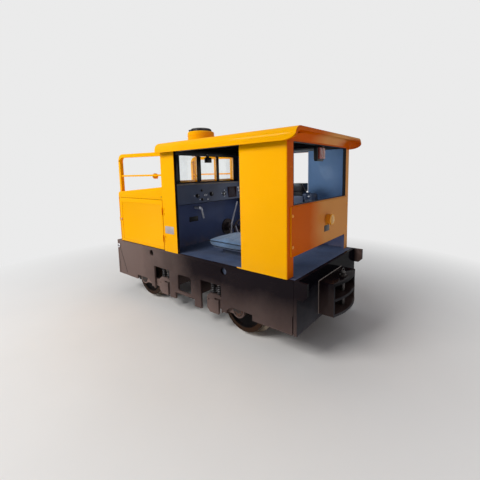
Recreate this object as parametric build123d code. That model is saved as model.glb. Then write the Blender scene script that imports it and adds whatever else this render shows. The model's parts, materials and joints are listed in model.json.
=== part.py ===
from build123d import *
import os
from math import cos, sin, radians

os.makedirs("parts", exist_ok=True)

# Narrow-gauge electric shunting locomotive. Millimetres, +X to the cab end, +Z up.
# The origin is on the floor, under the middle of the frame, where the wheel flanges stand.

# Clearances
seat_gap = 0.3
running_fit = 0.05
swing_gap = 6

# Running gear
gauge = 750
flange_play = 5
tread_radius = 200
flange_height = 27
flange_width = 25
tread_width = 75
wheel_rim = 42
wheel_web = 28
wheel_dish = 22
wheel_hub = 75
hub_step = 8
wheelbase = 1250
wheelbase_shift = -28
axle_radius = 38
journal_radius = 30
axle_height = tread_radius + flange_height
flange_face = gauge / 2 - flange_play
wheel_face = flange_face + tread_width
wheel_back = flange_face - flange_width
axle_x = {"rear": wheelbase_shift + wheelbase / 2, "front": wheelbase_shift - wheelbase / 2}

# Main frame
frame_end = 1112
frame_gap = 90
frame_half_width = wheel_face + frame_gap
frame_top = 575
side_thickness = 20
end_thickness = 25
end_bottom = 203
middle_bottom = 145
side_end = frame_end - end_thickness
side_inner = frame_half_width - side_thickness
deck_thickness = 12
deck_bottom = frame_top - deck_thickness
slit_width = 8
slit_top = 335
lug_reach = 72
lug_thickness = 22
lug_height = 118
lug_cut = 30
arch_reach = (128, 78, 124)
arch_inner = wheelbase / 2 - arch_reach[0]
arch_shoulder = wheelbase / 2 - arch_reach[1]
arch_outer = wheelbase / 2 + arch_reach[2]
strip_width = 30
strip_rake = 60
arch_shoulder_z = 211
arch_top = 247
strip_bottom = 185
tab_half_width = 130
tab_notch_top = 205
middle_hole = (176, 152)
middle_hole_z = 308
middle_hole_corner = 25
lift_hole_x = 476
lift_hole_z = 520
lift_hole_radius = 29

# Spring pockets: the left edge of each pocket seen from the near side
pocket_width = 233
pocket_top = 396
pocket_reach = (387, 210)
pocket_left = {"rear": axle_x["rear"] - pocket_reach[0], "front": axle_x["front"] + pocket_reach[1]}
pocket_corner = 8
arm_thickness = 22
arm_height = 70
casting_top = 300
casting_recess = 6
casting_left = 67
casting_right = 228
casting_neck = 195
casting_heel = 30
casting_round = 40
casting_ledge = (38, 22)
casting_step = 42
casting_eye = 7
arm_lap = 60
hub_radius = 58
spring_radius = 21
spring_wire = 6
spring_turns = 4
spring_places = (125, 195)
spring_pad = 8

# Couplers
coupler_half_width = 214
coupler_reach = 114
coupler_nose = 40
coupler_bottom = 242
coupler_top = 487
coupler_plate = 20
coupler_cheek = 22
pin_radius = 15
pin_back = 58
pin_collar = (26, 10)
pin_head_rise = 26
pin_tail = 12

# Drives and brakes
motor_radius = 125
motor_length = 400
motor_offset = 270
motor_height = 262
motor_nose = (140, 60)
gear_case_radius = 98
gear_case_width = 70
gear_case_gap = 20
axle_tube_wall = 20
axle_tube_web = (20, 30)
bearer_thickness = 20
bearer_gap = 60
bearer_x = wheelbase / 2 - motor_offset - motor_radius - bearer_gap - bearer_thickness
bearer_bottom = 250
shoe_clearance = 6
shoe_thickness = 32
shoe_angle = 22
shoe_inset = 8
hanger = (20, 30)
hanger_drop = 40

# Hood
hood_front = -1027
hood_back = -254
hood_skin = 16
door_thickness = 25
door_bottom = 583
door_top = 1043
cover_bottom = 1047
cover_front_top = 1104
cover_back_top = 1162
cover_skin = 8
cover_corner = 25
cover_edge = 14
cover_flange = 62
hood_post = 30
door_hinge_z = (940, 690)
knuckle_radius = 7
knuckle_length = 20
hinge_pin_radius = 4
hinge_leaf = 3
lock_z = 818
lock_inset = 32
lock_radius = 13
lock_reach = 8
leaf_width = 26
knuckle_gap = 0.5
knuckle_relief = 2
door_press_depth = 2.5
door_press_inset = (45, 25)
battery_length = 640
battery_inset = 105
battery_half_width = frame_half_width - battery_inset
battery_height = 400

# Guards over the hood
guard_tube = 35
guard_inset = 35
guard_y = frame_half_width - guard_inset
guard_post_x = -992
guard_top_front = 1492
guard_top_back = 1474
guard_bend = 78
guard_rail_z = cover_back_top + 106
guard_rail = 16

# Cab
cab_end = 1043
wall = 25
column_back = -68
doorway_back = 658
window_inset = 78
window_half_width = frame_half_width - window_inset
end_window = (1053, 1464)
end_opening_top = 709
bolted_panel = (716, 1046)
bolted_panel_inset = 38
bolted_panel_half_width = frame_half_width - bolted_panel_inset
bolted_panel_thickness = 8
front_windows = ((-350, -120), (-79, 158), (182, 432))
front_window_z = (1192, 1450)
window_corner = 18
glass_thickness = 5
cant_rail = 30
cant_rail_z = 1466

# Roof
eave_z = 1460
roof_overhang = 50
roof_half_width = frame_half_width + roof_overhang
roof_rise = 85
roof_roll = 62
roof_sheet = 10
roof_front = -260
visor_reach = 87
visor_end = cab_end + visor_reach
visor_round_x = 100
visor_round_z = 45
lip_depth = 26
lip_thickness = 6
roof_top = eave_z + roof_rise
cove_foot = 1475
cove_flat = 226
cove_half_width = guard_y
drum_x = -45
drum_y = -225
drum_radius = 120
drum_height = 105
drum_cap_radius = 98
drum_cap_height = 30
drum_edge = 14
cap_edge = 8
cap_notches = 12
cap_notch = (12, 14)

# Cab fittings
console_z = (977, 1174)
console_depth = 100
console_rake = 20
console_half_width = guard_y
lamp_radius = 43
lamp_reach = 55
lamp_groove = 9
lamp_ribs = 3
rear_lamp_y = 47
rear_lamp_z = 900
tail_lamp_y = 47
tail_lamp_z = 1405
tail_lamp_size = (50, 118, 112)
tail_lamp_corner = 22
strap_width = 36
strap_thickness = 6
guard_lamp_x = -418
guard_lamp_z = guard_rail_z - 7
guard_lamp_radius = 26
hand_wheel_y = 298
hand_wheel_z = 683
hand_wheel_radius = 100
hand_wheel_rim = 9
hand_wheel_reach = 190
hand_wheel_spoke = 7
hand_wheel_hub = (24, 20)
hand_wheel_flange = (87, 12)
hand_wheel_shaft = 15
hand_wheel_boss = (45, 60)
crank_reach = 60
crank_hub = (14, 70)
crank_rod = 9
crank_joints = ((-165, 941), (-137, 933), (-113, 833))
lever_x = 0
lever_joints = ((105, 640), (120, 764), (213, 978))
lever_rod = 8
lever_foot_size = (60, 20)
seat_x = 330
seat_y = -170
seat_width = 380
seat_top = 745
pad_thickness = 110
pad_round = 20
pan_thickness = 8
stand_inset = 90
pan_inset = 30


def span(low, high):
    return (low + high) / 2, high - low


def block(x, y, z):
    (cx, lx), (cy, ly), (cz, lz) = span(*x), span(*y), span(*z)
    return Pos(cx, cy, cz) * Box(lx, ly, lz)


def area(across, up):
    (ca, la), (cu, lu) = span(*across), span(*up)
    return Pos(ca, cu) * Rectangle(la, lu)


def outline(*points):
    return Polygon(*points, align=None)


def slab_x(sketch, low, high):
    return extrude(Plane.YZ.offset(low) * sketch, amount=high - low, dir=(1, 0, 0))


def slab_y(sketch, low, high):
    return extrude(Plane.XZ.offset(-low) * sketch, amount=high - low, dir=(0, 1, 0))


def slab_z(sketch, low, high):
    return extrude(Plane.XY.offset(low) * sketch, amount=high - low, dir=(0, 0, 1))


def rod_y(x, z, radius, low, high):
    return slab_y(Pos(x, z) * Circle(radius), low, high)


def rod_z(x, y, radius, low, high):
    return slab_z(Pos(x, y) * Circle(radius), low, high)


def rod_x(y, z, radius, low, high):
    return slab_x(Pos(y, z) * Circle(radius), low, high)


def bar(start, finish, radius):
    path = Line(start, finish)
    return sweep(Plane(path @ 0, z_dir=path % 0) * Circle(radius), path=path)


def rounded(sketch, corners, radius):
    def chosen(vertex):
        return any(abs(vertex.X - x) < 0.1 and abs(vertex.Y - y) < 0.1 for x, y in corners)

    return fillet(sketch.vertices().filter_by(chosen), radius)


def both_sides(item):
    return [item, mirror(item, Plane.XZ)]


def both_ends(item):
    return [item, mirror(item, Plane.YZ)]


def save(name, *items):
    solids = [solid for item in items for solid in item.solids()]
    export_step(Compound(solids), f"parts/{name}.step")


# The wheelsets: a plain axle and two dished wheels with flanges, each turned in one piece.
def wheel_section():
    rim = tread_radius - wheel_rim
    flange = tread_radius + flange_height
    web_face = wheel_face - wheel_dish
    return outline(
        (axle_radius, wheel_back - hub_step),
        (wheel_hub, wheel_back - hub_step),
        (wheel_hub, web_face - wheel_web - 6),
        (rim, web_face - wheel_web),
        (rim, wheel_back),
        (flange - 6, wheel_back),
        (flange, wheel_back + 8),
        (flange, wheel_back + 14),
        (tread_radius + 6, flange_face),
        (tread_radius, flange_face + 8),
        (tread_radius - 3, wheel_face - 6),
        (tread_radius - 8, wheel_face),
        (rim, wheel_face),
        (rim - 8, web_face),
        (wheel_hub, web_face),
        (wheel_hub - 6, wheel_face),
        (axle_radius, wheel_face),
    )


def turned_about_y(section, x, z):
    # The section holds radius and y, and turns about the axle's centre line.
    return Pos(x, 0, z) * revolve(Plane.XY * section, axis=Axis.Y)


journal_end = side_inner - 5
for place, x in axle_x.items():
    wheel = turned_about_y(wheel_section(), x, axle_height)
    save(f"wheels_{place}", *both_sides(wheel))
    axle = rod_y(x, axle_height, axle_radius, -wheel_face, wheel_face)
    axle += rod_y(x, axle_height, journal_radius, -journal_end, journal_end)
    save(f"axle_{place}", axle)


# The side plates, with arches over the wheels, spring pockets, holes and tabs.
def half_bottom(sign):
    return [
        (sign * side_end, end_bottom),
        (sign * arch_outer, end_bottom),
        (sign * arch_outer, arch_top),
        (sign * arch_shoulder, arch_top),
        (sign * arch_inner, arch_shoulder_z),
        (sign * arch_inner, strip_bottom),
        (sign * (arch_inner - strip_width), strip_bottom),
        (sign * (arch_inner - strip_width - strip_rake), middle_bottom),
        (sign * tab_half_width, middle_bottom),
        (sign * tab_half_width, tab_notch_top),
    ]


right = half_bottom(1)
left = half_bottom(-1)[::-1]
plate = outline((side_end, frame_top), *right, *left, (-side_end, frame_top))
hole_w, hole_h = middle_hole
plate -= Pos(0, middle_hole_z) * RectangleRounded(hole_w, hole_h, middle_hole_corner)
for sign in (-1, 1):
    plate -= Pos(sign * lift_hole_x, lift_hole_z) * Circle(lift_hole_radius)
    slit = sorted((sign * (side_end - slit_width), sign * (side_end + 1)))
    plate -= area(slit, (end_bottom - 1, slit_top))
for left_edge in pocket_left.values():
    pocket = area((left_edge, left_edge + pocket_width), (middle_bottom - 5, pocket_top))
    corners = [(left_edge, pocket_top), (left_edge + pocket_width, pocket_top)]
    plate -= rounded(pocket, corners, pocket_corner)
side_plate = slab_y(plate, -frame_half_width, -side_inner)
save("side_plate_near", side_plate)
save("side_plate_far", mirror(side_plate, Plane.XZ))

# The end plates. At the cab end a lug stands out from each top corner.
lug = outline(
    (frame_end, frame_top),
    (frame_end + lug_reach, frame_top),
    (frame_end + lug_reach, frame_top - lug_height + lug_cut),
    (frame_end + lug_reach - lug_cut, frame_top - lug_height),
    (frame_end, frame_top - lug_height),
)
end_plate = block((side_end, frame_end), (-frame_half_width, frame_half_width), (end_bottom, frame_top))
save("end_plate_front", mirror(end_plate, Plane.YZ))
for solid in both_sides(slab_y(lug, -frame_half_width, -frame_half_width + lug_thickness)):
    end_plate += solid
save("end_plate_rear", end_plate)

# The deck lies between the plates, flush with their tops.
save("deck_plate", block((-side_end, side_end), (-side_inner, side_inner), (deck_bottom, frame_top)))

bearer_face = bearer_x + bearer_thickness
bearer = block((bearer_x, bearer_face), (-side_inner, side_inner), (bearer_bottom, deck_bottom))
save("cross_bearers", *both_ends(bearer))

# The spring arms: a casting in each pocket, with a bar back to the journal bearing.
casting_outer = frame_half_width - casting_recess
arm_outer = side_inner - 3
arm_inner = arm_outer - arm_thickness
arms = []
springs = []
for place, left_edge in pocket_left.items():
    x = axle_x[place]
    left_x = left_edge + casting_left
    right_x = left_edge + casting_right
    neck_x = left_edge + casting_neck
    ledge_low = casting_top - casting_ledge[0]
    ledge_high = casting_top - casting_ledge[1]
    casting = outline(
        (left_x, middle_bottom + casting_heel),
        (left_x + casting_heel, middle_bottom),
        (neck_x, middle_bottom),
        (neck_x, ledge_low),
        (neck_x - casting_step, ledge_low),
        (neck_x - casting_step, ledge_high),
        (right_x, ledge_high),
        (right_x, casting_top),
        (left_x, casting_top),
    )
    casting = rounded(casting, [(left_x, casting_top)], casting_round)
    casting -= Pos(left_x + casting_ledge[1], casting_top - casting_round - 10) * Circle(casting_eye)
    arm = slab_y(casting, -casting_outer, -(arm_outer - 6))
    near_x = neck_x - arm_lap if x > left_edge else left_x + arm_lap
    link = sorted((near_x, x))
    arm_z = (axle_height - arm_height / 2, axle_height + arm_height / 2)
    arm += block(link, (-arm_outer, -arm_inner), arm_z)
    arm += rod_y(x, axle_height, hub_radius, -arm_outer, -arm_inner)
    pad_x = [left_edge + spring_places[0] - spring_radius, left_edge + spring_places[1] + spring_radius]
    spring_y = casting_outer - spring_radius
    pad_y = (-spring_y - spring_radius, -spring_y + spring_radius)
    arm += block(pad_x, pad_y, (casting_top, casting_top + spring_pad))
    arm -= rod_y(x, axle_height, journal_radius + running_fit, -arm_outer - 1, -arm_inner + 1)
    arms += both_sides(arm)

    # Each spring is turned with one rounded coil per turn around a thin core.
    low = casting_top + spring_pad
    pitch = (pocket_top - low) / spring_turns
    profile = area((0, spring_radius - spring_wire * 1.5), (low, pocket_top))
    for turn in range(spring_turns):
        ring = Pos(spring_radius - spring_wire, low + pitch * (turn + 0.5)) * Circle(spring_wire)
        profile += ring
    spring = revolve(Plane.XZ * profile, axis=Axis.Z)
    for place_x in spring_places:
        springs += both_sides(Pos(left_edge + place_x, -spring_y, 0) * spring)
save("spring_arms", *arms)
save("coil_springs", *springs)


# The coupler pockets: two cheeks and three shelves with a round nose, and a pin through them.
def coupler():
    back = frame_end
    front = frame_end + coupler_reach
    half = coupler_half_width
    nose = ThreePointArc((front, -half), (front + coupler_nose, 0), (front, half))
    rest = Polyline((front, half), (back, half), (back, -half), (front, -half))
    shelf = make_face(Curve() + [nose, rest])
    middle = (coupler_bottom + coupler_top) / 2
    pin_hole = Circle(pin_radius + running_fit)
    body = None
    for low in (coupler_bottom, middle - coupler_plate / 2, coupler_top - coupler_plate):
        one = slab_z(shelf - Pos(front + coupler_nose - pin_back, 0) * pin_hole, low, low + coupler_plate)
        body = one if body is None else body + one
    for sign in (-1, 1):
        cheek = sorted((sign * half, sign * (half - coupler_cheek)))
        body += block((back, front), cheek, (coupler_bottom, coupler_top))
    return body


def coupler_pin():
    x = frame_end + coupler_reach + coupler_nose - pin_back
    collar_radius, collar_height = pin_collar
    pin = rod_z(x, 0, pin_radius, coupler_bottom - pin_tail, coupler_top + pin_head_rise)
    pin += rod_z(x, 0, collar_radius, coupler_top, coupler_top + collar_height)
    pin += Pos(x, 0, coupler_top + pin_head_rise) * Sphere(pin_radius + 3)
    return pin


coupler_rear, coupler_front = both_ends(coupler())
save("coupler_rear", coupler_rear)
save("coupler_front", coupler_front)
save("coupler_pins", *both_ends(coupler_pin()))

# The drives: a motor slung from its axle and the bearer, with a gear case round both shafts.
drives = []
nose_width, nose_height = motor_nose
web_low, web_high = axle_tube_web
case_low = wheel_back - hub_step - gear_case_gap - gear_case_width
motor_y = (case_low - motor_length, case_low)
for x in axle_x.values():
    sign = -1 if x > 0 else 1
    motor_x = x + sign * motor_offset
    motor = rod_y(motor_x, motor_height, motor_radius, *motor_y)
    motor += block(
        sorted((motor_x, -sign * bearer_face)),
        (-nose_width / 2, nose_width / 2),
        (motor_height - nose_height / 2, motor_height + nose_height / 2),
    )
    case = make_hull([
        *(Pos(x, axle_height) * Circle(gear_case_radius)).edges(),
        *(Pos(motor_x, motor_height) * Circle(motor_radius - 10)).edges(),
    ])
    motor += slab_y(case, case_low, case_low + gear_case_width)
    motor += rod_y(x, axle_height, axle_radius + axle_tube_wall, *motor_y)
    motor += block(sorted((x, motor_x)), motor_y, (axle_height - web_low, axle_height + web_high))
    motor -= rod_y(x, axle_height, axle_radius + running_fit, -side_inner, side_inner)
    drives.append(motor)
save("drive_units", *drives)

# The brake shoes hang from the deck, outside the wheels.
shoes = []
inner = tread_radius + shoe_clearance
outer = inner + shoe_thickness
shoe_arc = Circle(outer) - Circle(inner)
wedge_x = 1.5 * outer * cos(radians(shoe_angle))
wedge_z = 1.5 * outer * sin(radians(shoe_angle))
shoe_y = (flange_face + shoe_inset, wheel_face - shoe_inset)
shoe_middle = sum(shoe_y) / 2
hanger_length, hanger_width = hanger
for x in axle_x.values():
    sign = 1 if x > 0 else -1
    wedge = outline((0, 0), (sign * wedge_x, wedge_z), (sign * wedge_x, -wedge_z))
    shoe = slab_y(Pos(x, axle_height) * (shoe_arc & wedge), *shoe_y)
    shoe += block(
        sorted((x + sign * (outer - shoe_inset), x + sign * (outer - shoe_inset + hanger_length))),
        (shoe_middle - hanger_width / 2, shoe_middle + hanger_width / 2),
        (axle_height - hanger_drop, deck_bottom),
    )
    shoes += both_sides(shoe)
save("brake_shoes", *shoes)

# The hood: front sheet, inner frame, two side doors, battery and cover.
half = frame_half_width
sheet = area((hood_front, hood_front + hood_skin), (-half, half))
sheet = rounded(sheet, [(hood_front, -half), (hood_front, half)], hood_skin * 0.8)
save("hood_front", slab_z(sheet, frame_top, cover_bottom))

post_outer = half - door_thickness - swing_gap
post_inner = post_outer - hood_post
posts_x = ((hood_front + hood_skin, hood_front + hood_skin + hood_post), (hood_back - hood_post, hood_back))
hood_frame = None
for y_pair in ((-post_outer, -post_inner), (post_inner, post_outer)):
    for x_pair in posts_x:
        post = block(x_pair, y_pair, (frame_top, cover_bottom))
        hood_frame = post if hood_frame is None else hood_frame + post
    rail = block((posts_x[0][0], posts_x[1][1]), y_pair, (cover_bottom - hood_post, cover_bottom))
    hood_frame += rail
for x_pair in posts_x:
    hood_frame += block(x_pair, (-post_outer, post_outer), (cover_bottom - hood_post, cover_bottom))
save("hood_frame", hood_frame)

battery_x = (hood_front + hood_back) / 2
battery = block(
    (battery_x - battery_length / 2, battery_x + battery_length / 2),
    (-battery_half_width, battery_half_width),
    (frame_top, frame_top + battery_height),
)
battery = fillet(battery.edges().filter_by(Axis.Z), 12)
save("battery_box", battery)

door_front = hood_front + hood_skin + 4
door_back = hood_back - swing_gap
hinge_x = hood_back - swing_gap / 2
hinge_y = half + knuckle_radius
leaf_y = (-half - hinge_leaf, -half)
door = block((door_front, door_back), (-half, -half + door_thickness), (door_bottom, door_top))
door = fillet(door.edges().filter_by(Axis.Z).filter_by(lambda e: e.center().Y < -half + 1), 4)
wide_inset, slim_inset = door_press_inset
door -= block(
    (door_front + wide_inset, door_back - slim_inset),
    (-half - 1, -half + door_press_depth),
    (door_bottom + slim_inset, door_top - wide_inset),
)
lock_x = door_front + lock_inset
door += rod_y(lock_x, lock_z, lock_radius, -half - lock_reach, -half + hinge_leaf)
hinges = None
for z in door_hinge_z:
    low = z - knuckle_length / 2
    high = z + knuckle_length / 2
    for fixed_low in (high + knuckle_gap, low - knuckle_gap - knuckle_length):
        fixed_z = (fixed_low, fixed_low + knuckle_length)
        door -= rod_z(hinge_x, -hinge_y, knuckle_radius + knuckle_relief, fixed_z[0], fixed_z[1])
        fixed = rod_z(hinge_x, -hinge_y, knuckle_radius, *fixed_z)
        fixed += block((hinge_x, hinge_x + leaf_width), leaf_y, fixed_z)
        hinges = fixed if hinges is None else hinges + fixed
    hinges += rod_z(hinge_x, -hinge_y, hinge_pin_radius, low - knuckle_length, high + knuckle_length)
    knuckle = rod_z(hinge_x, -hinge_y, knuckle_radius, low, high)
    knuckle += block((hinge_x - leaf_width, hinge_x), leaf_y, (low, high))
    knuckle -= rod_z(hinge_x, -hinge_y, hinge_pin_radius + running_fit, low - 1, high + 1)
    door += knuckle
door_near, door_far = both_sides(door)
save("hood_door_near", door_near)
save("hood_door_far", door_far)
save("door_hinges", *both_sides(hinges))

slope = (cover_back_top - cover_front_top) / (hood_back - hood_front)


def cover_height(x):
    return cover_front_top + slope * (x - hood_front)


def cover_side(inset):
    front = hood_front + inset
    back = hood_back - inset
    base = cover_bottom + inset
    side = outline(
        (front, base),
        (back, base),
        (back, cover_height(back) - inset),
        (front, cover_height(front) - inset),
    )
    return rounded(side, [(front, cover_height(front) - inset)], cover_corner - inset)


cover = slab_y(cover_side(0), -half, half)
upper_edges = cover.edges().filter_by(lambda e: e.center().Z > cover_front_top - 5)
long_edges = upper_edges.filter_by(lambda e: abs(e.center().Y) > half - 1 and e.length > cover_flange * 2)
cover = fillet(long_edges, cover_edge)
cover -= slab_y(cover_side(cover_skin), -half + cover_skin, half - cover_skin)
mouth_x = (hood_front + cover_flange, hood_back - cover_flange)
mouth_half = half - cover_flange
cover -= block(mouth_x, (-mouth_half, mouth_half), (cover_bottom - 1, cover_bottom + cover_skin + 1))
save("hood_cover", cover)


# The guards: a bent flat tube from the cover to the cab, with a thin rail half way up.
def guard():
    outer_x = guard_post_x - guard_tube / 2
    inner_x = guard_post_x + guard_tube / 2
    foot = cover_height(outer_x)
    inner_foot = cover_height(inner_x)
    fall = (guard_top_front - guard_top_back) / (hood_back - outer_x)
    under_front = guard_top_front - guard_tube - fall * guard_tube
    under_back = guard_top_back - guard_tube
    frame = outline(
        (outer_x, foot),
        (outer_x, guard_top_front),
        (hood_back, guard_top_back),
        (hood_back, under_back),
        (inner_x, under_front),
        (inner_x, inner_foot),
    )
    frame = rounded(frame, [(outer_x, guard_top_front)], guard_bend)
    frame = rounded(frame, [(inner_x, under_front)], guard_bend - guard_tube)
    tube = slab_y(frame, -guard_y - guard_tube / 2, -guard_y + guard_tube / 2)
    rail_z = (guard_rail_z - guard_rail / 2, guard_rail_z + guard_rail / 2)
    tube += block((inner_x - 1, hood_back), (-guard_y - guard_rail / 2, -guard_y + guard_rail / 2), rail_z)
    return tube


guard_near, guard_far = both_sides(guard())
save("guard_near", guard_near)
save("guard_far", guard_far)


# The roof: a rolled sheet with a peak over the end wall and a lip along both ends.
def roof_section(inset, base):
    across = roof_half_width - inset
    top = roof_top - inset
    section = area((-across, across), (base, top))
    return rounded(section, [(-across, top), (across, top)], roof_roll - inset)


def under_roof(item):
    return item & slab_x(roof_section(roof_sheet + seat_gap, 0), roof_front, visor_end)


roof = slab_x(roof_section(0, eave_z) - roof_section(roof_sheet, eave_z - 1), roof_front, visor_end)
lip = roof_section(0, eave_z) - roof_section(lip_depth, eave_z - 1)
roof += slab_x(lip, visor_end - lip_thickness, visor_end)
roof += slab_x(lip, roof_front, roof_front + lip_thickness)
round_start = visor_end - visor_round_x
visor_cut = make_face(Curve() + [
    EllipticalCenterArc(
        (round_start, eave_z + visor_round_z), visor_round_x, visor_round_z, start_angle=270, arc_size=90
    ),
    Polyline(
        (visor_end, eave_z + visor_round_z),
        (visor_end + 10, eave_z + visor_round_z),
        (visor_end + 10, eave_z - 10),
        (round_start, eave_z - 10),
        (round_start, eave_z),
    ),
])
roof -= slab_y(visor_cut, -roof_half_width - 1, roof_half_width + 1)
save("roof", roof)

# The cove under the peak, from the head of the end window out to the lip.
cove_out = visor_end - lip_thickness - 2
cove_top = roof_top - roof_sheet - seat_gap
cove_side = make_face(Curve() + [
    ThreePointArc((cab_end, cove_foot), (cab_end + 22, cove_foot + 30), (cove_out, cove_top - 12)),
    Polyline(
        (cove_out, cove_top - 12), (cove_out, cove_top), (cab_end, cove_top), (cab_end, cove_foot)
    ),
])
cove = slab_y(cove_side, -cove_half_width, cove_half_width)
arch_rise = cove_top - cove_foot
arch_run = cove_half_width - cove_flat
arch = make_face(Curve() + [
    Polyline(
        (-cove_half_width, cove_foot),
        (-cove_half_width, cove_foot - 5),
        (cove_half_width, cove_foot - 5),
        (cove_half_width, cove_foot),
    ),
    EllipticalCenterArc((cove_flat, cove_foot), arch_run, arch_rise, start_angle=0, arc_size=90),
    Line((cove_flat, cove_top), (-cove_flat, cove_top)),
    EllipticalCenterArc((-cove_flat, cove_foot), arch_run, arch_rise, start_angle=90, arc_size=90),
])
save("visor_cove", cove & slab_x(arch, cab_end - 5, visor_end))

# The cab walls stand on the frame and reach up under the roof.
tall = (frame_top, roof_top + 10)
side_y = (-half, -half + wall)
front_column = under_roof(block((hood_back, column_back), side_y, tall))
column_near, column_far = both_sides(front_column)
save("front_column_near", column_near)
save("front_column_far", column_far)

rear_panel = block((doorway_back, cab_end), side_y, tall)
corner = rear_panel.edges().filter_by(Axis.Z).sort_by(lambda e: e.center().X - e.center().Y)[-1]
rear_panel = under_roof(fillet(corner, 10))
panel_near, panel_far = both_sides(rear_panel)
save("rear_panel_near", panel_near)
save("rear_panel_far", panel_far)

inner_half = half - wall
front_face = area((-inner_half, inner_half), tall)
for window in front_windows:
    hole = area(window, front_window_z)
    front_face -= fillet(hole.vertices(), window_corner)
save("cab_front_wall", under_roof(slab_x(front_face, hood_back, hood_back + wall)))

glass_middle = hood_back + wall / 2
panes = []
pane_z = (front_window_z[0] + seat_gap, front_window_z[1] - seat_gap)
for low, high in front_windows:
    pane = area((low + seat_gap, high - seat_gap), pane_z)
    pane = fillet(pane.vertices(), window_corner)
    panes.append(slab_x(pane, glass_middle - glass_thickness / 2, glass_middle + glass_thickness / 2))
save("front_glass", *panes)

end_face = area((-inner_half, inner_half), tall)
end_hole = area((-window_half_width, window_half_width), end_window)
end_face -= fillet(end_hole.vertices(), 12)
end_face -= area((-window_half_width, window_half_width), (frame_top - 1, end_opening_top))
save("cab_end_wall", under_roof(slab_x(end_face, cab_end - wall, cab_end)))

panel = area((-bolted_panel_half_width, bolted_panel_half_width), bolted_panel)
panel = fillet(panel.vertices(), 6)
save("end_panel", slab_x(panel, cab_end, cab_end + bolted_panel_thickness))

cant = block(
    (hood_back + wall, cab_end - wall),
    (-inner_half, -inner_half + cant_rail),
    (cant_rail_z, cant_rail_z + cant_rail),
)
save("cant_rails", *both_sides(cant))

# The roof drum: a turned shell with a flat cap.
drum_top = roof_top + drum_height
drum_profile = area((0, drum_radius), (roof_top, drum_top))
drum_profile = rounded(drum_profile, [(drum_radius, drum_top)], drum_edge)
save("roof_drum", Pos(drum_x, drum_y, 0) * revolve(Plane.XZ * drum_profile, axis=Axis.Z))
cap = rod_z(drum_x, drum_y, drum_cap_radius, drum_top, drum_top + drum_cap_height)
cap = fillet(cap.edges().group_by(Axis.Z)[-1], cap_edge)
notch_depth, notch_width = cap_notch
notch_z = drum_top + drum_cap_height / 2 + 4
for turn in range(cap_notches):
    notch = Pos(drum_cap_radius, 0, notch_z) * Box(notch_depth, notch_width, drum_cap_height)
    cap -= Pos(drum_x, drum_y, 0) * (Rot(0, 0, turn * 360 / cap_notches) * notch)
save("drum_cap", cap)


# The lamps: a turned, ribbed body that faces away from its back plate.
def lamp(radius):
    ratio = radius / lamp_radius
    pitch = lamp_reach / (2 * lamp_ribs + 1)
    steps = [(0, 0)]
    for rib in range(lamp_ribs):
        low = 2 * rib * pitch
        steps += [(low, lamp_radius), (low + pitch, lamp_radius)]
        steps += [(low + pitch, lamp_radius - lamp_groove), (low + 2 * pitch, lamp_radius - lamp_groove)]
    steps += [(lamp_reach, lamp_radius - 2 * lamp_groove), (lamp_reach, 0)]
    profile = outline(*[(reach * ratio, across * ratio) for reach, across in steps])
    return revolve(Plane.XY * profile, axis=Axis.X)


panel_face = cab_end + bolted_panel_thickness
save("rear_lamp", Pos(panel_face, rear_lamp_y, rear_lamp_z) * lamp(lamp_radius))
guard_lamp_y = -guard_y + guard_rail / 2 + guard_lamp_radius
guard_lamp = Pos(guard_lamp_x, guard_lamp_y, guard_lamp_z) * (Rot(0, 0, 180) * lamp(guard_lamp_radius))
save("guard_lamp", guard_lamp)

tail_x, tail_y, tail_z = tail_lamp_size
strap_x = cab_end - wall - strap_thickness
strap_y = (tail_lamp_y - strap_width / 2, tail_lamp_y + strap_width / 2)
strap_z = (tail_lamp_z, end_window[1] + wall)
save("tail_lamp_strap", block((strap_x, cab_end - wall), strap_y, strap_z))
body = Pos(strap_x - tail_x / 2, tail_lamp_y, tail_lamp_z) * Box(tail_x, tail_y, tail_z)
save("tail_lamp", fillet(body.edges().filter_by(Axis.X), tail_lamp_corner))

# The driver's console and controls, on the inside of the front wall.
console_back = hood_back + wall
low_z, high_z = console_z
console_side = outline(
    (console_back, low_z),
    (console_back + console_depth, low_z + console_rake),
    (console_back + console_depth - console_rake, high_z),
    (console_back, high_z),
)
save("console", slab_y(console_side, -console_half_width, console_half_width))

crank_x = console_back + crank_reach
crank_points = [(crank_x, y, z) for y, z in crank_joints]
crank = rod_x(*crank_joints[0], crank_hub[0], console_back, console_back + crank_hub[1])
crank += bar(crank_points[0], crank_points[1], crank_rod)
crank += bar(crank_points[1], crank_points[2], crank_rod)
crank += Pos(*crank_points[1]) * Sphere(crank_rod)
save("crank_handle", crank)

wheel_x = console_back + hand_wheel_reach
wheel_middle = (wheel_x, hand_wheel_y, hand_wheel_z)
hub_radius, hub_half = hand_wheel_hub
flange_radius, flange_depth = hand_wheel_flange
boss_radius, boss_depth = hand_wheel_boss
spoke_reach = hand_wheel_radius - 1.2 * hand_wheel_rim
hand_wheel = Pos(*wheel_middle) * (Rot(0, 90, 0) * Torus(hand_wheel_radius - hand_wheel_rim, hand_wheel_rim))
hand_wheel += rod_x(hand_wheel_y, hand_wheel_z, hub_radius, wheel_x - hub_half, wheel_x + hub_half)
for angle in (45, 135, 225, 315):
    across = spoke_reach * cos(radians(angle))
    up = spoke_reach * sin(radians(angle))
    hand_wheel += bar(wheel_middle, (wheel_x, hand_wheel_y + across, hand_wheel_z + up), hand_wheel_spoke)
hand_wheel += rod_x(hand_wheel_y, hand_wheel_z, hand_wheel_shaft, console_back, wheel_x)
hand_wheel += rod_x(hand_wheel_y, hand_wheel_z, boss_radius, console_back, console_back + boss_depth)
hand_wheel += rod_x(hand_wheel_y, hand_wheel_z, flange_radius, console_back, console_back + flange_depth)
save("hand_wheel", hand_wheel)

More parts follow.
